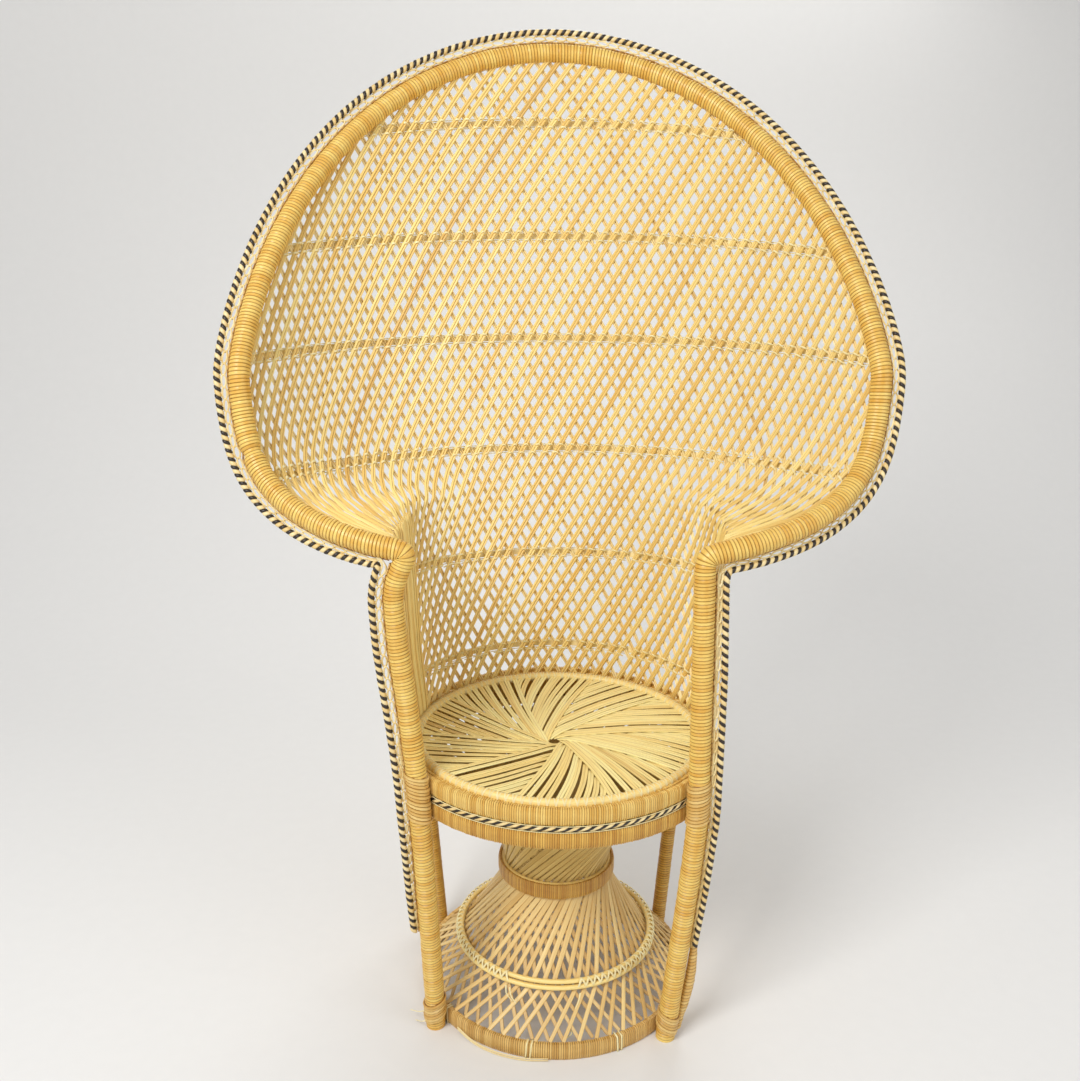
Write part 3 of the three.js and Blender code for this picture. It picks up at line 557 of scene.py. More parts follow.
def hoop_radius(share):
    bare = np.exp(-((share - BARE_SHARE) / BARE_REACH) ** 2)
    return np.interp(share, np.linspace(0, 1, len(HOOP_RADII)), HOOP_RADII) - BARE_DEPTH * bare


def left_post_radius(share):
    return POST_RADIUS * np.interp(share, LEFT_POST_SHARES, LEFT_POST_SIZES)


def pole_radius(run):
    """The wrapped pole's radius anywhere along its line."""
    share = np.clip((run - left_arm) / (right_arm - left_arm), 0, 1)
    post = np.where(run < left_arm, left_post_radius(run / left_arm), POLE_RADIUS)
    return np.where((run < left_arm) | (run > right_arm), post, hoop_radius(share))


pole_cane = wound_cane(
    "pole_cane", (0.96, 0.71, 0.20), (0.76, 0.39, 0.050), (0.22, 0.075, 0.008), 0.33, groove=1.0)
for name, start, end, radius, seed in (
        ("fan_hoop", left_arm - BEND_OVERLAP, right_arm + BEND_OVERLAP, hoop_radius, 11),
        ("front_post_left", 0.0, left_arm, left_post_radius, 12),
        ("front_post_right", right_arm, pole_line.length, POST_RADIUS, 13)):
    turns = round((end - start) / TURN_PITCH)
    pole = wind(pole_line, turns, radius, radius, 16, 0.062, (start, end), 0.06, uneven=0.026, seed=seed)
    if name != "fan_hoop":
        cut_level(FLOOR_CUT, keep_above=True)
    done(pole, f"wrapped_{name}", pole_cane, "cane_wrap", name, angle=32)

# Rear legs: two thinner canes under the back of the seat, wrapped like the posts. They stand against the
# apron's outside and end just below the seat's top.
REAR_LEG_RADIUS = 0.012
REAR_LEG_GAP = 0.0012
REAR_LEG_ANGLE = math.radians(180 - 57)
REAR_LEG_STATIONS = ((0.217, 0), (0.250, APRON_BOTTOM), (0.250, SEAT_HEIGHT - 0.006))
REAR_LEG_TRIM = 0.0022
REAR_LEG_PITCH = 0.0046
leg_cane = wound_cane("leg_cane", (0.78, 0.50, 0.11), (0.54, 0.26, 0.035), (0.16, 0.055, 0.007), groove=1.0)
for side, name in ((-1, "rear_leg_left"), (1, "rear_leg_right")):
    foot, under, top = (
        Vector(around(radius + REAR_LEG_GAP + REAR_LEG_RADIUS, side * REAR_LEG_ANGLE, height))
        for radius, height in REAR_LEG_STATIONS)
    leg_line = Line(smooth_line([foot + (foot - under).normalized() * 0.02, foot, under, top]), FRONT)
    turns = round(leg_line.length / REAR_LEG_PITCH)
    leg = wind(
        leg_line, turns, REAR_LEG_RADIUS, REAR_LEG_RADIUS, 14, 0.07, slant=0.05, uneven=0.02, seed=20 + side)
    cut_level(FLOOR_CUT, keep_above=True)
    cut_level(top.z - REAR_LEG_TRIM, keep_above=False)
    done(leg, f"wrapped_{name}", leg_cane, "cane_wrap", name, angle=32)

# Lattice: two layers of split reed pairs that cross, leaning right in front and left behind. Their ends
# run into the wrapped hoop and, below the arms, behind each post.
POST_CLEAR = 0.0185
POST_TOP = ARM_HEIGHT - 0.012
SWING_REACH = 0.17
SWING_TOP = ARM_HEIGHT + 0.034
SWING_FADE = 0.050
BULGE = 0.010
BULGE_REACH = 0.34
REED_PITCH = 0.0202
REED_LEAN = math.radians(31)
REED_SLOPE = math.tan(REED_LEAN)
REED_WIDE = 0.0080
REAR_REED_WIDE = 0.0064
REED_THICK = 0.0036
REED_LAYER = 0.0021
REED_CUTS = 55
SHEET_FOOT = 0.4393
SHEET_MIDDLE = SEAT_HEIGHT + SHEET_RISE / 2
SPREAD_HEIGHT = 1.12
SPREAD = 0.45
EDGE_CLEAR = 0.003
ROW = 0.1
post_lines = {
    -1: pole_line.spots[pole_line.runs < left_arm],
    1: pole_line.spots[pole_line.runs > right_arm][::-1],
}


def lattice_point(s, z, behind=0.0):
    """A point on the lattice, which swings out from the sheet below the arms to end behind the posts."""
    spot = sheet_point(s, z, behind)
    s, z, _ = np.broadcast_arrays(np.atleast_1d(s).astype(float), np.atleast_1d(z).astype(float), spot[:, 0])
    fade = np.clip((SWING_TOP - z) / SWING_FADE, 0, 1)
    fade = fade * fade * (3 - 2 * fade)
    for side, line in post_lines.items():
        edge = sheet_edge(z, side)
        near = np.clip((side * s - edge) / SWING_REACH + 1, 0, 1.1)
        home = sheet_point(side * edge, z)
        for axis, clear in ((0, 0), (1, POST_CLEAR)):
            post = np.interp(np.minimum(z, POST_TOP), line[:, 2], line[:, axis])
            spot[:, axis] += (post + clear - home[:, axis]) * near ** 2 * fade
        bulge = np.sin(math.pi * np.clip((side * s - edge) / BULGE_REACH + 1, 0, 1))
        bulge = bulge * np.clip((z - 0.55) / 0.2, 0, 1)
        spot[:, 0] -= side * BULGE * bulge * fade
    return spot


def laid_reed(name, pale, warm, deep, roughness=0.42, knots=True, pair=0.0):
    """Split reed: tones vary from strand to strand and slowly along each, with fine fibres. Knots makes a
    few strands dark, and pair is how much painted shade darkens the groove down the middle of a pair."""
    finish = CaneFinish(name)
    run, across, strand = finish.grain()
    chance = finish.chance(strand.maths("ROUND"))
    slow = finish.noise(run * 6, across * 0.3, strand * 3.7, 1, 3)
    fibre = finish.noise(run * 14, across * 5, strand * 5.3, 1.4, 4, 0.6)
    tone = finish.stretch(chance * 0.6 + slow * 0.7 - 0.15, 0.1, 0.9)
    colour = finish.blend(tone, pale, warm)
    colour = finish.blend(finish.stretch(fibre, 0.5, 0.8) * 0.5, colour, deep)
    # Painted shade in the groove between the two strands of a pair.
    if pair:
        groove = finish.stretch(across.maths("ABSOLUTE"), 0.04, 0.2)
        colour = finish.blend((1 - groove) * pair, colour, deep)
    if knots:
        colour = finish.blend(finish.stretch(chance, 0.93, 0.99) * 0.45, colour, deep)
    return finish.shine(colour, fibre * 0.3 + (roughness - 0.12), fibre, 0.3, 0.0003, 0.4)


def bars(profile, cuts, count, place, length, half_wide, closed_ends=True):
    """Straight bars side by side on the bench, with a cross-section given as [y, z] corners, each taken to
    its place, which is given by its row number and its bench measures."""
    piece = bench_tube(len(profile), cuts, closed_ends)
    for vertex in piece.data.vertices:
        turn = math.atan2(vertex.co.z, vertex.co.y) % (2 * math.pi)
        step = round(turn / (2 * math.pi) * len(profile)) % len(profile)
        vertex.co.y, vertex.co.z = profile[step]
    repeat(piece, count, (0, ROW, 0))

    def parts(bench):
        row = np.round(bench[:, 1] / ROW).astype(int)
        return row, bench[:, 0], bench[:, 1] - row * ROW, bench[:, 2]

    def grain(bench):
        row, along, across, _ = parts(bench)
        reach = length[row] if isinstance(length, np.ndarray) else length
        return np.stack([along * reach, across / half_wide, row + 0.0 * along], 1)

    take(piece, grain, lambda bench: place(*parts(bench)))
    return piece


def pair_profile(wide, thick):
    """The section of two half-round reeds side by side, with a groove between them."""
    corners = (
        (0.5, -0.3), (0.47, 0.15), (0.27, 0.5), (0.0, 0.12),
        (-0.27, 0.5), (-0.47, 0.15), (-0.5, -0.3), (0.0, -0.5))
    return [(wide * y, thick * z) for y, z in corners]


def reed_place(centre, slope, z):
    """Where a reed is at a height: straight, but leaning more near the fan's top."""
    return centre + slope * (z - SHEET_MIDDLE + SPREAD * np.maximum(z - SPREAD_HEIGHT, 0) ** 2)


def reed_lines(lean, seed):
    """The reeds of one layer: where each crosses the sheet's middle height, its slope and its two ends."""
    chance = np.random.default_rng(seed)
    heights = np.linspace(SHEET_FOOT, BACK_HEIGHT, 1200)
    count = int((SHEET_HALF_WIDTH + REED_SLOPE * SHEET_RISE / 2) / REED_PITCH)
    lines = []
    for i in range(-count, count + 1):
        centre = (i + 0.25) * lean * REED_PITCH + chance.uniform(-0.0013, 0.0013)
        slope = lean * REED_SLOPE * (1 + chance.uniform(-0.012, 0.012))
        s = reed_place(centre, slope, heights)
        inside = heights[np.abs(s) < sheet_edge(heights, s) - EDGE_CLEAR]
        if len(inside) > 20:
            lines.append((centre, slope, inside[0], inside[-1]))
    return np.array(lines)


def lattice_layer(name, lines, lean, wide, material, *nodes):
    """One layer of reed pairs, laid on the sheet's front when they lean right and on its rear if not."""
    def place(row, along, across, up):
        centre, slope, low, high = lines[row].T
        z = low + (high - low) * along
        s = reed_place(centre, slope, z) + across * math.cos(REED_LEAN)
        sway = 0.0004 * np.sin(z * 37 + row * 1.7)
        return lattice_point(s + sway, z - lean * across * math.sin(REED_LEAN), -lean * REED_LAYER - up)

    lengths = (lines[:, 3] - lines[:, 2]) / math.cos(REED_LEAN)
    reeds = bars(pair_profile(wide, REED_THICK), REED_CUTS, len(lines), place, lengths, REED_WIDE / 2)
    done(reeds, name, material, "split_reed", *nodes, angle=60)


lattice_reed = laid_reed(
    "lattice_reed", (0.97, 0.79, 0.31), (0.82, 0.54, 0.15), (0.42, 0.19, 0.04), pair=0.5)
# The rear reeds are given lighter colours than the front ones to offset the shade the front layer casts on
# them: painted light.
rear_reed = laid_reed(
    "rear_lattice_reed", (1.0, 0.86, 0.46), (0.90, 0.66, 0.26), (0.42, 0.20, 0.06), pair=0.7)
front_lines = reed_lines(1, 31)
lattice_layer("lattice_front_reeds", front_lines, 1, REED_WIDE, lattice_reed, "back_reeds")
lattice_layer("lattice_rear_reeds", reed_lines(-1, 32), -1, REAR_REED_WIDE, rear_reed)

# Edge canes and side reeds: below the arms the lattice ends on a thin cane beside each post, and on the
# left a few reeds stand nearly upright beside it.
EDGE_CANE_RADIUS = 0.0038
SHEAF = 7
SHEAF_TOP = ARM_HEIGHT - 0.004
SHEAF_INSET = 0.196
SHEAF_BEHIND = -0.0066
SHEAF_WIDE = 0.0076
SHEAF_THICK = 0.0034


def plain_cane(line, wide, deep, sides=8, **more):
    """A smooth length of cane along a whole line."""
    return wind(line, 2, wide, deep, sides, 0.0, shares=PLAIN_SHARES, **more)


edge_heights = np.linspace(SHEET_FOOT, ARM_HEIGHT - 0.020, 40)
for side, name in ((-1, "edge_cane_left"), (1, "edge_cane_right")):
    edge_spots = lattice_point(side * (sheet_edge(edge_heights, side) - EDGE_CLEAR), edge_heights)
    cane = plain_cane(Line(edge_spots, FRONT), EDGE_CANE_RADIUS, EDGE_CANE_RADIUS)
    done(cane, name, lattice_reed, "split_reed")


def set_sheaf(row, along, across, up):
    z = SHEET_FOOT + (SHEAF_TOP - SHEET_FOOT) * along
    inset = SHEAF_INSET + row * (0.0052 + 0.0062 * along) + 0.0012 * np.sin(row * 2.3 + along * 3)
    spot = lattice_point(-(sheet_edge(z, -1) - inset), z, SHEAF_BEHIND)
    spot[:, 0] += across
    spot[:, 1] -= up
    return spot


sheaf = bars(pair_profile(SHEAF_WIDE, SHEAF_THICK), 20, SHEAF, set_sheaf, 0.34, SHEAF_WIDE / 2)
# The sheaf's colours are lighter than the lattice's to offset the weaker light it gets at a grazing angle:
# painted light.
sheaf_reed = laid_reed("sheaf_reed", (0.98, 0.84, 0.38), (0.88, 0.64, 0.22), (0.44, 0.22, 0.06), pair=0.6)
done(sheaf, "side_sheaf_left", sheaf_reed, "split_reed", angle=60)

# Bands: six flat strips behind the lattice, from pole to pole. Twine holds every front reed to each strip
# with a knot at its upper and at its lower edge. A band's two shares are its height, as a share of the
# sheet's, in the middle and at its ends.
BAND_SHARES = (
    (0.047, 0.062), (0.207, 0.282), (0.382, 0.414), (0.562, 0.566), (0.723, 0.707), (0.896, 0.872))
BAND_HALF = 0.0048
BAND_BEHIND = 0.0072
BAND_THICK = 0.0024
BAND_END_CLEAR = 0.004
TWINE_ROW = 0.0066
TWINE_RADIUS = 0.00075
TWINE_FRONT = BAND_BEHIND - BAND_THICK / 2 - 0.0012
KNOT_END_CLEAR = 0.008
# The band strips' colours are lighter than the reeds' to offset the shade the lattice casts on them: painted
# light.
band_reed = laid_reed("band_strip", (0.98, 0.84, 0.46), (0.88, 0.64, 0.26), (0.50, 0.28, 0.09))
twine = laid_reed(
    "cream_twine", (0.95, 0.87, 0.52), (0.85, 0.71, 0.35), (0.58, 0.40, 0.16), 0.55, knots=False)


def level_height(middle, end, s):
    edge = sheet_edge(SEAT_HEIGHT + SHEET_RISE * end, np.sign(s))
    return SEAT_HEIGHT + SHEET_RISE * (middle + (end - middle) * np.minimum((s / edge) ** 2, 1.15))


def crossing(centre, slope, middle, end, shift):
    """Where a front reed crosses a row of twine."""
    s = centre
    for _ in range(12):
        z = float(level_height(middle, end, np.array(s))) + shift
        s = float(reed_place(centre, slope, z))
    return s, float(level_height(middle, end, np.array(s))) + shift


twine_rows = []
knots = []
for number, (middle, end) in enumerate(BAND_SHARES, 1):
    edge_z = SEAT_HEIGHT + SHEET_RISE * end
    left_end, right_end = (side * (float(sheet_edge(edge_z, side)) - BAND_END_CLEAR) for side in (-1, 1))
    s = np.linspace(left_end, right_end, 160)
    z = level_height(middle, end, s)
    spots = lattice_point(s, z, BAND_BEHIND)
    face = lattice_point(s, z, BAND_BEHIND - 0.001) - spots
    strip = plain_cane(Line(spots, face), BAND_HALF, BAND_THICK / 2, square=0.9)
    done(strip, f"band_strip_{number}", band_reed, "split_reed", f"back_band_{number}", angle=40)
    for shift in (-TWINE_ROW, TWINE_ROW):
        twine_rows.append((middle, end, left_end, right_end, shift))
        for centre, slope, low, high in front_lines:
            cross, knot_z = crossing(centre, slope, middle, end, shift)
            if low + KNOT_END_CLEAR < knot_z < high - KNOT_END_CLEAR:
                knots.append((cross, knot_z, slope))
twine_rows = np.array(twine_rows)
knots = np.array(knots)


def cord_profile(wide, thick):
    return [(wide, 0), (0, thick), (-wide, 0), (0, -thick)]


def set_twine(row, along, across, up):
    middle, end, first, last, shift = twine_rows[row].T
    s = first + (last - first) * along
    return lattice_point(s, level_height(middle, end, s) + shift + across, TWINE_FRONT - up)


band_twine = bars(cord_profile(TWINE_RADIUS, TWINE_RADIUS), 99, len(twine_rows), set_twine, 1.1, TWINE_RADIUS)
done(band_twine, "band_twine", twine, "cane_wrap", angle=80)

# Knots: each is a short length of the same twine that comes from behind a reed, crosses its front on a
# slant and dives behind it again. No two lie quite alike.
KNOT_HALF = 0.0066
KNOT_RADIUS = 0.0015
KNOT_LEVELS = (0.0045, -0.0015, -0.0048, -0.0052, -0.0040, 0.0030)
KNOT_RISE = (-0.0030, -0.0008, 0.0006, 0.0004, -0.0006, -0.0034)
knot_chance = np.random.default_rng(41).uniform(-1, 1, (len(knots), 3))


def set_knots(row, along, across, up):
    s, z, slope = knots[row].T
    first, second, third = knot_chance[row].T
    at = along * (len(KNOT_LEVELS) - 1)
    depth = np.interp(at, range(len(KNOT_LEVELS)), KNOT_LEVELS)
    rise = np.interp(at, range(len(KNOT_RISE)), KNOT_RISE)
    ahead = (along - 0.5) * 2 * KNOT_HALF * (1 + 0.14 * first)
    level = rise * (1 + 0.5 * second) + 0.0011 * third * (along - 0.5) * 2
    tip = np.where((along < 0.01) | (along > 0.99), 0.6, 1.0)
    return lattice_point(s + ahead, z + level + across * tip, depth - up * tip)


lattice_knots = bars(cord_profile(KNOT_RADIUS, KNOT_RADIUS), 4, len(knots), set_knots, 0.013, KNOT_RADIUS)
done(lattice_knots, "lattice_knots", twine, "cane_wrap", angle=80)

# Border: outside the pole run a thin binder cane, a row of oval cane loops and a rope edge wrapped in
# cream and black cane by turns. It stops some 0.18 m above the floor on both posts.
ROPE_OFFSET = 0.0310
ROPE_RADIUS = 0.0049
ROPE_PITCH = 0.0126
CORNER_CLEAR = 0.029
KNOB_CLEAR = 0.044
CORNER_PINCH = 0.0030
CORNER_REACH = 0.085
LEFT_BORDER_FOOT = 0.186
RIGHT_BORDER_FOOT = 0.170
POST_OFFSET_HEIGHTS = (0.17, 0.26, 0.44, 0.60, 0.74)
POST_OFFSETS = (0.0228, 0.0262, 0.0288, 0.0315, 0.0300)
runs, heights = pole_line.runs, pole_line.spots[:, 2]
left_side, right_side = runs < left_arm, runs > right_arm
corner_gap = np.minimum(np.abs(runs - left_arm), np.abs(runs - right_arm))
rope_offset = ROPE_OFFSET - CORNER_PINCH * np.exp(-(corner_gap / CORNER_REACH) ** 2)
post_offset = np.interp(heights, POST_OFFSET_HEIGHTS, POST_OFFSETS)
rope_offset = np.where(left_side | right_side, post_offset, rope_offset)
clear = corner_gap > CORNER_CLEAR
clear &= left_side | (runs > left_arm + KNOB_CLEAR)
clear &= ~(left_side & (heights < LEFT_BORDER_FOOT))
clear &= ~(right_side & (heights < RIGHT_BORDER_FOOT))
border_spots = pole_line.spots - pole_line.across * rope_offset[:, None]
border_line = Line(border_spots[clear], FRONT, soften=0.004)

rope_finish = CaneFinish("two_tone_rope")
rope_turn, rope_aside, rope_out = rope_finish.grain()
rope_number = rope_turn.maths("FLOOR")
rope_chance = rope_finish.chance(rope_number)
rope_fibre = rope_finish.noise(rope_turn * 3, rope_aside, rope_out, 2.5, 3)
rope_cream = rope_finish.blend(rope_chance * 0.6 + rope_fibre * 0.5, (0.93, 0.79, 0.45), (0.74, 0.50, 0.17))
rope_black = rope_finish.blend(rope_fibre, (0.010, 0.008, 0.007), (0.040, 0.026, 0.018))
rope_colour = rope_finish.blend(rope_number.maths("MODULO", 2), rope_cream, rope_black)
# Painted shade: each turn darkens towards its edges, in the groove between turns.
rope_groove_shade = ((rope_turn - rope_number - 0.5).maths("ABSOLUTE") * 2) ** 6
rope_colour = rope_finish.blend(rope_groove_shade * 0.6, rope_colour, (0.05, 0.025, 0.01))
rope_material = rope_finish.shine(rope_colour, rope_fibre * 0.2 + 0.3, rope_fibre, 0.3, 0.0003)
rope_turns = 2 * round(border_line.length / ROPE_PITCH)
rope = wind(
    border_line, rope_turns, ROPE_RADIUS, ROPE_RADIUS, 8, 0.22, slant=-0.62, uneven=0.05, seed=51,
    odd_share=0.56)
done(rope, "rope_edge", rope_material, "two_tone_rope", "fan_border", angle=60)

# Border loops: oval rings of cane, one beside the other, that lean and overlap a little. Each one fills
# the gap between the pole and the rope where it lies.
LOOP_PITCH = 0.0172
LOOP_CANE = 0.0015
LOOP_HALF_LONG = 0.0094
LOOP_TUCK = 0.0019
LOOP_ROPE_TUCK = 0.0006
LOOP_LEAN = 0.26
loop_cane = laid_reed(
    "loop_cane", (0.92, 0.78, 0.43), (0.76, 0.56, 0.22), (0.45, 0.26, 0.08), 0.4, knots=False)
loop_count = round(border_line.length / LOOP_PITCH) - 1
loop_runs = (np.arange(loop_count) + 0.6) * border_line.length / loop_count
loop_chance = np.random.default_rng(52).uniform(-1, 1, (loop_count, 3))
pole_reach = np.empty(loop_count)
for i, run in enumerate(loop_runs):
    spot = border_line.bend(run, np.zeros(1), np.zeros(1))[0]
    gaps = np.linalg.norm(pole_line.spots - spot, axis=1)
    nearest = int(np.argmin(gaps))
    pole_reach[i] = gaps[nearest] - pole_radius(runs[nearest])
loop_inner, loop_outer = pole_reach - LOOP_TUCK, ROPE_RADIUS - LOOP_ROPE_TUCK
loop_middle = (loop_inner + loop_outer) / 2
loop_half = np.clip((loop_inner - loop_outer) / 2 - LOOP_CANE, 0.0012, 0.0075)


def set_loops(row, along, across, up):
    turn = 2 * math.pi * along
    tilt, size, lift = loop_chance[row].T
    long = (LOOP_HALF_LONG * (1 + 0.06 * size) + across) * np.cos(turn)
    wide = (loop_half[row] + across) * np.sin(turn)
    lean = LOOP_LEAN + 0.10 * tilt
    run = loop_runs[row] + long * np.cos(lean) - wide * np.sin(lean)
    inward = loop_middle[row] + long * np.sin(lean) * 0.5 + wide * np.cos(lean)
    return border_line.bend(run, inward, up + 0.0014 * np.cos(turn) + 0.0004 * lift)


loops = bars(cord_profile(LOOP_CANE, LOOP_CANE * 0.8), 11, loop_count, set_loops, 0.045, LOOP_CANE, False)
done(loops, "border_loops", loop_cane, "golden_cane", angle=80)

# Binder: a thin dark cane that runs along the outside of the hoop and of each post, between the pole and
# the loops, and leaves the bends at the arms free.
BINDER_WIDE = 0.0014
BINDER_DEEP = 0.0022
BINDER_OFF = 0.0009
BINDER_CLEAR = 0.024
BINDER_PITCH = 0.0085
binder_cane = wound_cane("binder_cane", (0.80, 0.56, 0.22), (0.42, 0.19, 0.04), (0.10, 0.04, 0.01), patch=0.2)
left_border = runs[np.argmax(heights > LEFT_BORDER_FOOT)]
right_border = runs[len(runs) - 1 - np.argmax(heights[::-1] > RIGHT_BORDER_FOOT)]
for name, start, end in (
        ("binder_left", left_border, left_arm - BINDER_CLEAR),
        ("binder_hoop", left_arm + BINDER_CLEAR, right_arm - BINDER_CLEAR),
        ("binder_right", right_arm + BINDER_CLEAR, right_border)):
    binder = wind(
        pole_line, round((end - start) / BINDER_PITCH), BINDER_WIDE, BINDER_DEEP, 8, 0.05, (start, end),
        0.5, wide_off=lambda share: -(pole_radius(start + (end - start) * share) + BINDER_OFF))
    done(binder, name, binder_cane, "golden_cane")

# Seat: ten overlapping sectors of flat reeds swirl round a small hole. Each sector's first reeds run from
# the hole to the rim, and the others start under the next sector's.
SECTORS = 10
SECTOR_REEDS = 10
SECTOR_TURN = 2 * math.pi / SECTORS
SECTOR_START = math.radians(-109)
SECTOR_FANS = (1.5, 2.3, 1.1, 0.6, 0.5, 1.4, 1.9, 1.2, 0.9, 0.2)
SEAT_EDGE = 0.2135
SEAT_HOLE = 0.0125
SEAT_TOP = 0.4408
SEAT_REED_WIDE = 0.0086
SEAT_REED_THICK = 0.0016
SEAT_REED_BOW = 0.0055
SEAT_REED_DIVE = 0.0055
SEAT_REED_TUCK = 0.0016
SEAT_SAG = 0.0110
SEAT_SAG_REACH = 0.115
SEAT_FORWARD = 0.0070
HOLE_ASIDE = -0.0070
SEAT_TILT = 0.0024
UNDERLAP = 0.006
seat_reed = laid_reed("seat_reed", (1.0, 0.92, 0.44), (0.92, 0.70, 0.25), (0.36, 0.17, 0.035), 0.34, pair=0.4)
seat_chance = np.random.default_rng(61)


def seat_line(sector, reed):
    """A seat reed's rim end and its direction from there to the middle, on the plan."""
    jitter = seat_chance.uniform(-1, 1, 2) if reed else np.zeros(2)
    angle = SECTOR_START + (sector + reed / SECTOR_REEDS) * SECTOR_TURN + 0.010 * jitter[0]
    rim = np.array([math.cos(angle), math.sin(angle)]) * SEAT_EDGE
    first = SECTOR_START + sector * SECTOR_TURN
    heading = first + math.pi - math.asin(SEAT_HOLE / SEAT_EDGE)
    heading += math.radians(SECTOR_FANS[sector]) * reed + 0.012 * jitter[1]
    return rim, np.array([math.cos(heading), math.sin(heading)])


seat_rows = []
for sector in range(SECTORS):
    next_rim, next_way = seat_line((sector + 1) % SECTORS, 0)
    for reed in range(SECTOR_REEDS):
        rim, way = seat_line(sector, reed)
        long = SEAT_EDGE * math.cos(math.asin(SEAT_HOLE / SEAT_EDGE))
        if reed:
            turn_out = way[0] * next_way[1] - way[1] * next_way[0]
            gap = next_rim - rim
            if abs(turn_out) > 1e-4:
                meet = (gap[0] * next_way[1] - gap[1] * next_way[0]) / turn_out
                if 0 < meet < long:
                    long = meet
            long = min(long + UNDERLAP, SEAT_EDGE * 0.97)
        seat_rows.append((*rim, *way, long, SEAT_TILT * reed / (SECTOR_REEDS - 1), 1.0 if reed < 2 else 0.0))
seat_rows = np.array(seat_rows)


def set_seat(row, along, across, up):
    rim_x, rim_y, way_x, way_y, long, drop, first = seat_rows[row].T
    run = along * long
    bow = SEAT_REED_BOW * np.sin(math.pi * np.minimum(along, 1)) * (long / SEAT_EDGE)
    x = rim_x + way_x * run + way_y * (across + bow)
    y = rim_y + way_y * run - way_x * (across + bow)
    reach = np.hypot(x, y)
    fade = np.clip((SEAT_EDGE - reach) / 0.05, 0, 1)
    dive = SEAT_REED_DIVE * np.clip(1 - (long - run) / 0.030, 0, 1) ** 2 * first
    tuck = SEAT_REED_TUCK * np.clip(1 - (long - run) / 0.020, 0, 1) * (1 - first)
    z = SEAT_TOP - SEAT_SAG * np.exp(-(reach / SEAT_SAG_REACH) ** 2) - drop * fade - dive - tuck
    lean = across / SEAT_REED_WIDE * 0.0006
    x = x + HOLE_ASIDE * (1 - reach / SEAT_EDGE)
    return np.stack([x, SEAT_Y - SEAT_FORWARD + y, z + up + lean * fade], 1)


seat_corners = (
    (0.5, -0.35), (0.48, 0.2), (0.27, 0.5), (0.0, 0.0),
    (-0.27, 0.5), (-0.48, 0.2), (-0.5, -0.35), (0.0, -0.4))
seat_profile = [(SEAT_REED_WIDE * y, SEAT_REED_THICK * z) for y, z in seat_corners]
seat_reeds = bars(seat_profile, 16, len(seat_rows), set_seat, seat_rows[:, 4], SEAT_REED_WIDE / 2)
done(seat_reeds, "seat_reeds", seat_reed, "split_reed", *(f"seat_sector_{i}" for i in range(1, 11)), angle=40)

# Seat rim: a round peeled rod over the ends of the seat's reeds, stitched down all round with twine that
# passes to and fro over it.
RIM_RADIUS = 0.21907
ROD_RADIUS = 0.0068
RIM_HEIGHT = 0.4395
STITCH_PITCH = 0.0058
STITCH_HALF = 0.0007
LEAD_TURN = 0.3
rod_cane = laid_reed("peeled_rod", (0.98, 0.80, 0.33), (0.86, 0.58, 0.17), (0.50, 0.25, 0.05), 0.34)


def ring(radius, height, turns, wide, deep, sides, dip, forward=0.0, **more):
    """Winds turns on a level ring round the seat's axis, from its rear. The ring's line goes on a little
    past both ends, so that they bend alike and close."""
    angles = np.linspace(math.pi - LEAD_TURN, 3 * math.pi + LEAD_TURN, 400)
    spots = np.array([around(radius, angle, height) for angle in angles]) - np.array([0, forward, 0])
    line = Line(spots, lambda at: at - np.array([0, SEAT_Y - forward, height]))
    lead = radius * LEAD_TURN
    return wind(line, turns, wide, deep, sides, dip, (lead, line.length - lead), ring=True, **more)


def rod_ring(name, radius, height, thick, *nodes, forward=0.0):
    rod = ring(radius, height, 6, thick, thick, 12, 0.0, forward, shares=PLAIN_SHARES)
    done(rod, name, rod_cane, "bare_rattan", *nodes)


def zigzag(name, radius, height, thick_wide, thick_tall, pitch, arc, half, ways, seed, forward=0.0):
    """Twine over a rod or a pair of rods, to and fro between its inner and its outer side."""
    chance = np.random.default_rng(seed)
    first, last = arc
    count = round((last - first) * radius / pitch)
    stitches = []
    for i in range(count):
        turn = first + (last - first) * (i + 0.5) / count
        for way in ways(i):
            stitches.append((turn, way, *chance.uniform(-1, 1, 2)))
    stitches = np.array(stitches)

    def place(row, along, across, up):
        turn, way, chance_wide, _ = stitches[row].T
        sweep = (along - 0.5) * 2
        over = sweep * 1.75
        angle = turn + way * sweep * pitch * (0.5 + 0.08 * chance_wide) / radius
        reach = radius + (thick_wide + half * 0.6 + up) * np.sin(over)
        tall = (thick_tall + half * 0.6 + up) * np.cos(over)
        angle = angle + across / radius
        return np.stack([reach * np.sin(angle), SEAT_Y - forward - reach * np.cos(angle), height + tall], 1)

    lashing = bars(cord_profile(half * 1.5, half), 6, len(stitches), place, 0.02, half)
    done(lashing, name, twine, "cane_wrap", angle=80)


rod_ring("seat_rim_rod", RIM_RADIUS, RIM_HEIGHT, ROD_RADIUS, "seat_rim", forward=SEAT_FORWARD)
zigzag("rim_stitches", RIM_RADIUS, RIM_HEIGHT, ROD_RADIUS, ROD_RADIUS, STITCH_PITCH, (0, 2 * math.pi),
       STITCH_HALF, lambda i: (1 if i % 2 else -1,), 62, SEAT_FORWARD)

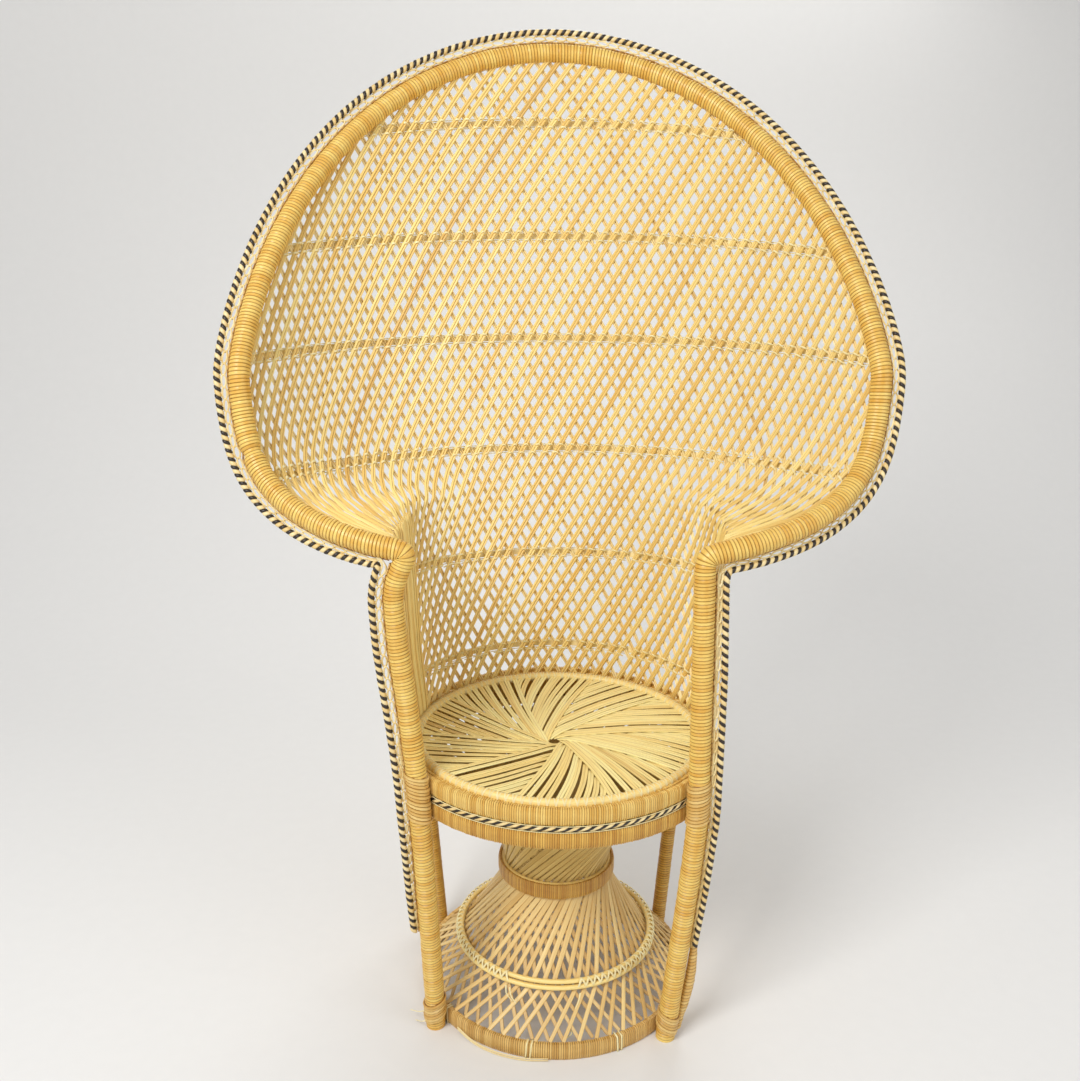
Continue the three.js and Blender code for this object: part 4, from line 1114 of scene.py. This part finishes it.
# Apron: two bent hoops wrapped in narrow cane, one above the other, with a two-tone braid between two
# lines of twine in the groove.
APRON_OUTER = 0.250
APRON_INNER = 0.2387
APRON_MIDDLE = (APRON_OUTER + APRON_INNER) / 2
APRON_DEEP = (APRON_OUTER - APRON_INNER) / 2
APRON_TALL = 0.0129
APRON_UPPER = 0.430
APRON_LOWER = 0.3935
APRON_PITCH = 0.0033
BRAID_RADIUS = 0.2462
BRAID_HEIGHT = 0.4118
BRAID_PITCH = 0.0082
BRAID_TALL = 0.0044
BRAID_DEEP = 0.0040
BRAID_LINE_RADIUS = 0.2490
BRAID_LINE_TALL = 0.0005
BRAID_LINE_DEEP = 0.0007
apron_cane = wound_cane(
    "apron_cane", (0.96, 0.70, 0.22), (0.68, 0.36, 0.055), (0.24, 0.09, 0.012), patch=0.35, groove=0.9)
lower_cane = wound_cane(
    "lower_apron_cane", (0.84, 0.52, 0.115), (0.52, 0.24, 0.032), (0.18, 0.065, 0.008),
    patch=0.35, groove=0.8)


def wrapped_ring(name, radius, height, pitch, tall, deep, material, node, seed, sides=12, dip=0.10,
                 slot="cane_wrap", **more):
    """A level ring wrapped in cane, with an even number of turns so that a two-tone wrap closes."""
    turns = 2 * round(math.pi * radius / pitch)
    shape = {"square": 0.92, "uneven": 0.03, **more}
    wrap = ring(radius, height, turns, tall, deep, sides, dip, seed=seed, **shape)
    done(wrap, name, material, slot, node, angle=35)


wrapped_ring("apron_upper_wrap", APRON_MIDDLE, APRON_UPPER, APRON_PITCH, APRON_TALL, APRON_DEEP, apron_cane,
             "seat_upper_band", 71)
wrapped_ring("apron_lower_wrap", APRON_MIDDLE, APRON_LOWER, APRON_PITCH, APRON_TALL, APRON_DEEP, lower_cane,
             "seat_lower_band", 72)
wrapped_ring("apron_braid", BRAID_RADIUS, BRAID_HEIGHT, BRAID_PITCH, BRAID_TALL, BRAID_DEEP, rope_material,
             "seat_braid", 73, 8, 0.2, "two_tone_rope", square=0.0, uneven=0.05, slant=-1.9, odd_share=0.58)
for name, height in (("braid_line_upper", 0.4165), ("braid_line_lower", 0.4071)):
    thread = ring(
        BRAID_LINE_RADIUS, height, 6, BRAID_LINE_TALL, BRAID_LINE_DEEP, 6, 0.0, shares=PLAIN_SHARES)
    done(thread, name, twine, "cane_wrap")

# Pedestal: two layers of split reeds that lean opposite ways, from the apron to the waist and from the
# waist to the floor, held by a wrapped band at the waist and a wrapped ring on the floor. A station is the
# radius and the height of a reed's foot, of its bend and of its head.
WAIST_REED = 0.0827
LOWER_STATIONS = ((0.2112, 0.0252), (0.154, 0.081), (WAIST_REED, 0.1985))
NECK_STATIONS = ((WAIST_REED, 0.2185), (0.1265, 0.3167), (0.2312, 0.383))
LOWER_LEAN = math.radians(46)
NECK_LEAN = math.radians(76)
LOWER_COUNT = 56
NECK_COUNT = 50
BENCH_WIDE = 0.04
BASE_RADIUS = 0.2114
BASE_HEIGHT = 0.0138
BASE_TALL = 0.0137
BASE_DEEP = 0.0056
BASE_PITCH = 0.0034
WAIST_RADIUS = 0.0912
WAIST_HEIGHT = 0.2085
WAIST_TALL = 0.0124
WAIST_DEEP = 0.0028
WAIST_PITCH = 0.0031
neck_reed = laid_reed("neck_reed", (0.76, 0.55, 0.19), (0.52, 0.33, 0.085), (0.18, 0.085, 0.02), 0.4)
cone_reed = laid_reed("cone_reed", (0.90, 0.68, 0.30), (0.66, 0.41, 0.13), (0.26, 0.12, 0.035), 0.4)
cone_inner_reed = laid_reed(
    "cone_inner_reed", (0.80, 0.58, 0.26), (0.54, 0.33, 0.115), (0.20, 0.09, 0.028), 0.45)
base_cane = wound_cane(
    "base_cane", (0.90, 0.62, 0.22), (0.56, 0.30, 0.065), (0.18, 0.07, 0.012), patch=0.4, groove=0.95)
waist_cane = wound_cane(
    "waist_cane", (0.74, 0.43, 0.085), (0.46, 0.20, 0.028), (0.14, 0.05, 0.006), patch=0.3, groove=0.95)


def cone_spot(stations, lean, turn, share, inward):
    """A point of a pedestal reed, straight between the stations and soft at their corners."""
    heights = np.array([height for _, height in stations])
    shares = (heights - heights[0]) / (heights[-1] - heights[0])
    turned = []
    for (radius, height), part in zip(stations, shares):
        reach = radius - inward
        angle = turn + lean * part
        turned.append(np.stack([reach * np.sin(angle), -reach * np.cos(angle), height + 0 * angle], 1))
    total = 0
    for soft in (-0.035, 0.0, 0.035):
        at = np.clip(share + soft, 0, 1)
        low = np.clip(at / shares[1], 0, 1)[:, None]
        high = np.clip((at - shares[1]) / (1 - shares[1]), 0, 1)[:, None]
        total = total + (turned[0] + (turned[1] - turned[0]) * low + (turned[2] - turned[1]) * high) / 3
    return total + (0, SEAT_Y, 0)


def cone_reeds(name, stations, lean, count, wides, inward, material, seed, *nodes):
    chance = np.random.default_rng(seed).uniform(-1, 1, (count, 3))
    step = 0.004

    def place(row, along, across, up):
        turn = (row + 0.16 * chance[row, 0]) / count * 2 * math.pi
        spot = cone_spot(stations, lean, turn, along, inward)
        run = cone_spot(stations, lean, turn, np.clip(along + step, 0, 1), inward)
        run = run - cone_spot(stations, lean, turn, np.clip(along - step, 0, 1), inward)
        run /= np.linalg.norm(run, axis=1)[:, None]
        beside = cone_spot(stations, lean, turn + step, along, inward) - spot
        face = np.cross(beside, run)
        face /= np.linalg.norm(face, axis=1)[:, None]
        level = np.cross(run, face)
        wide = np.interp(along, (0, 1), wides) * (1 + 0.06 * chance[row, 1]) / BENCH_WIDE
        return spot + level * (across * wide)[:, None] + face * (up + 0.0002 * chance[row, 2])[:, None]

    corners = (
        (0.5, -0.0009), (0.42, 0.0008), (0.0, 0.0017), (-0.42, 0.0008), (-0.5, -0.0009), (0.0, -0.0017))
    profile = [(y * BENCH_WIDE, z) for y, z in corners]
    reeds = bars(profile, 18, count, place, 0.25, BENCH_WIDE / 2)
    done(reeds, name, material, "split_reed", *nodes)


cone_reeds("neck_reeds", NECK_STATIONS, NECK_LEAN, NECK_COUNT, (0.0058, 0.0160), 0.0, neck_reed, 81,
           "pedestal_neck_reeds")
cone_reeds("neck_inner_reeds", NECK_STATIONS, -NECK_LEAN, NECK_COUNT, (0.0064, 0.0180), 0.0036, neck_reed, 82)
cone_reeds("cone_outer_reeds", LOWER_STATIONS, LOWER_LEAN, LOWER_COUNT, (0.0062, 0.0088), 0.0, cone_reed, 83,
           "pedestal_lower_reeds")
cone_reeds("cone_inner_reeds", LOWER_STATIONS, -LOWER_LEAN, LOWER_COUNT, (0.0058, 0.0080), 0.0034,
           cone_inner_reed, 84)
wrapped_ring("waist_wrap", WAIST_RADIUS, WAIST_HEIGHT, WAIST_PITCH, WAIST_TALL, WAIST_DEEP, waist_cane,
             "waist_band", 74, square=0.9)
wrapped_ring("base_wrap", BASE_RADIUS, BASE_HEIGHT, BASE_PITCH, BASE_TALL, BASE_DEEP, base_cane,
             "base_ring", 75)

# Mid ring: two peeled rods, one above the other, lashed to the cone's reeds by crossed twine. They are
# drawn a little closer together than the frame has them.
MID_ROD = 0.0038
MID_DRAW = 0.72
MID_LASHED = (math.radians(9), math.radians(330))
MID_LASH_WIDE = 0.0052
MID_LASH_TALL = 0.0082
MID_LASH_PITCH = 0.0118
MID_LASH_HALF = 0.0011
mid_rods = {}
for name in ("mid_ring_lower", "mid_ring_upper"):
    low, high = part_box(name)
    mid_rods[name] = ((high.x - low.x) / 2 - (high.z - low.z) / 2, (low.z + high.z) / 2)
mid_radius, mid_height = np.mean(list(mid_rods.values()), axis=0)
for name, (radius, height) in mid_rods.items():
    rod_ring(name.replace("ring", "rod"), mid_radius + (radius - mid_radius) * MID_DRAW,
             mid_height + (height - mid_height) * MID_DRAW, MID_ROD, name)
zigzag("mid_ring_lashing", mid_radius, mid_height, MID_LASH_WIDE, MID_LASH_TALL, MID_LASH_PITCH, MID_LASHED,
       MID_LASH_HALF, lambda i: (1, -1), 63)

# Hidden hoops: a wrapped hoop inside the apron carries the back's reeds, and bare rings at the waist and
# at the neck's head carry the pedestal's.
INNER_HOOP_RADIUS = 0.2319
INNER_HOOP_HEIGHT = 0.4186
INNER_HOOP_PITCH = 0.0040
INNER_HOOP_TALL = 0.0209
INNER_HOOP_DEEP = 0.0056
wrapped_ring("inner_hoop_wrap", INNER_HOOP_RADIUS, INNER_HOOP_HEIGHT, INNER_HOOP_PITCH, INNER_HOOP_TALL,
             INNER_HOOP_DEEP, apron_cane, "seat_inner_hoop", 76, uneven=0.02)
HIDDEN_RODS = [
    ("waist_core_upper", 0.0846, 0.2150, 0.0052),
    ("waist_core_lower", 0.0846, 0.2030, 0.0052),
    ("neck_head_ring", 0.2312, 0.3880, 0.0062),
]
for name, radius, height, thick in HIDDEN_RODS:
    rod_ring(name, radius, height, thick)

# Base ties: doubled twine holds the base ring's wrapping at three places, and a loose doubled cane has
# come away along its lower edge on the left.
TIE_HALF = 0.0011
TIE_GAP = 0.0034
TIE_DEEP = 0.0058
TIE_OFF = 0.0004
TIE_ANGLES = (-55, -14, 23.5)
tie_chance = np.random.default_rng(64)
ties = np.array([
    (math.radians(angle) + pair * TIE_GAP / BASE_RADIUS, tie_chance.uniform(-1, 1, 2)[0])
    for angle in TIE_ANGLES for pair in (-1, 1)])


def set_ties(row, along, across, up):
    angle, slant = ties[row].T
    turn = 2 * math.pi * along
    boxy = np.maximum(np.abs(np.sin(turn)), np.abs(np.cos(turn))) ** 0.8
    reach = BASE_RADIUS + (TIE_DEEP + TIE_OFF + up) * np.cos(turn) / boxy
    rise = BASE_HEIGHT + (BASE_TALL + TIE_OFF + up) * np.sin(turn) / boxy
    side = angle + (across + 0.0016 * slant * np.sin(turn)) / BASE_RADIUS
    return np.stack([reach * np.sin(side), SEAT_Y - reach * np.cos(side), np.maximum(rise, 0.0003)], 1)


base_ties = bars(
    cord_profile(TIE_HALF * 1.2, TIE_HALF * 0.8), 23, len(ties), set_ties, 0.08, TIE_HALF, False)
done(base_ties, "base_ties", twine, "cane_wrap", angle=80)


def loose_strand(name, stations, half, material, slot, flat=0.6, forward=0.0):
    """A short tapering strand through stations of radius, degrees from straight ahead, and height."""
    spots = [around(radius, math.radians(angle), height) for radius, angle, height in stations]
    line = Line(smooth_line([(x, y - forward, z) for x, y, z in spots], 10), (0, -1, 0.2))
    strand = plain_cane(line, lambda share: half * (1 - 0.5 * share), half * flat, 6)
    done(strand, name, material, slot)


PEELED_REACH = 0.2190
PEELED_HALF = 0.0014
PEELED_STATIONS = (
    (-0.001, -47, 0.0060), (0.0030, -38, 0.0030), (0.0052, -28, 0.0022), (0.0042, -16, 0.0022),
    (0.0005, -6, 0.0028))
for pair in (0, 1):
    stations = [
        (PEELED_REACH + pair * 0.0004 + bow, angle, height + pair * 0.0036)
        for bow, angle, height in PEELED_STATIONS]
    loose_strand(f"peeled_cane_{pair + 1}", stations, PEELED_HALF, loop_cane, "golden_cane")

# Foot and seat bindings: a few slanting turns of cane round each post, at the floor and at the height of
# the apron. On the right the border's end comes down beside the post in a wrap of its own.
BINDING_DIP = 0.09
SPLINT_TOP = 0.176
SPLINT_LONG = 0.164
SPLINT_PITCH = 0.0062
SPLINT_OFF = 0.0225
SPLINT_BACK = 0.006
left_foot = runs[np.argmax(heights > 0.006)]
right_foot = runs[len(runs) - 1 - np.argmax(heights[::-1] > 0.008)]
binding_cane = wound_cane(
    "binding_cane", (0.90, 0.66, 0.25), (0.66, 0.36, 0.07), (0.24, 0.09, 0.012), groove=1.0)
for name, start, end, turns, thick, seed, slant in (
        ("left_foot_binding", left_foot + 0.010, left_foot + 0.046, 7, 0.0022, 91, 0.34),
        ("right_foot_binding", right_foot - 0.038, right_foot - 0.006, 6, 0.0022, 92, -0.34),
        ("left_seat_binding", left_foot + 0.378, left_foot + 0.447, 13, 0.0016, 93, -0.30),
        ("right_seat_binding", right_foot - 0.440, right_foot - 0.378, 12, 0.0016, 94, 0.22)):
    half = POLE_RADIUS + thick
    binding = wind(pole_line, turns, half, half, 14, BINDING_DIP, (start, end), slant, uneven=0.05, seed=seed)
    done(binding, name, binding_cane, "cane_wrap", angle=35)


def splint_half(share):
    return 0.0050 + 0.0030 * np.sin(math.pi * share)


splint_points = []
for share in np.linspace(0, 1, 9):
    height = SPLINT_TOP - SPLINT_LONG * share
    spot = pole_line.spots[::-1][np.argmax(heights[::-1] > height)]
    out = SPLINT_OFF + 0.0045 * math.sin(math.pi * min(share * 1.15, 1)) - 0.0035 * share
    splint_points.append((spot[0] + out, spot[1] + SPLINT_BACK, height))
splint_line = Line(smooth_line(splint_points, 6), FRONT)
splint = wind(splint_line, round(splint_line.length / SPLINT_PITCH), splint_half, splint_half, 12, 0.08,
              slant=0.3, uneven=0.05, seed=95)
done(splint, "border_end_right", binding_cane, "cane_wrap", angle=35)

# Loose ends: cut twine tails where the lashings end, and small pegs of peeled cane that stand in the rim
# at the back of the seat.
TAIL_HALF = 0.0011
PEG_HALF = 0.0030
TAILS = [
    ("tail_mid_left", (0.1750, -29, 0.088), (0.1800, -28, 0.078), (0.1790, -25, 0.066)),
    ("tail_mid_left_low", (0.1750, -27, 0.086), (0.1840, -25, 0.080), (0.1870, -22, 0.070)),
    ("tail_mid_right", (0.1750, 9, 0.086), (0.1790, 8, 0.076), (0.1850, 6, 0.066)),
    ("tail_base_front", (0.1900, 3, 0.036), (0.1960, 4, 0.032), (0.2000, 1.5, 0.026)),
    ("tail_left_foot", (0.2380, -57, 0.030), (0.2520, -60, 0.022), (0.2600, -64, 0.016)),
    ("tail_left_foot_low", (0.2380, -55, 0.022), (0.2540, -57, 0.014), (0.2580, -61, 0.006)),
]
PEGS = [(-166, 0.4445), (-179, 0.4450), (168, 0.4445), (-138, 0.4440)]
for name, *stations in TAILS:
    loose_strand(name, stations, TAIL_HALF, twine, "cane_wrap")
for number, (angle, height) in enumerate(PEGS, 1):
    stations = (
        (0.2275, angle, height - 0.006), (0.2262, angle + 0.6, height + 0.002),
        (0.2240, angle + 1.4, height + 0.0085))
    loose_strand(f"rim_peg_{number}", stations, PEG_HALF, rod_cane, "bare_rattan", 0.5, SEAT_FORWARD)
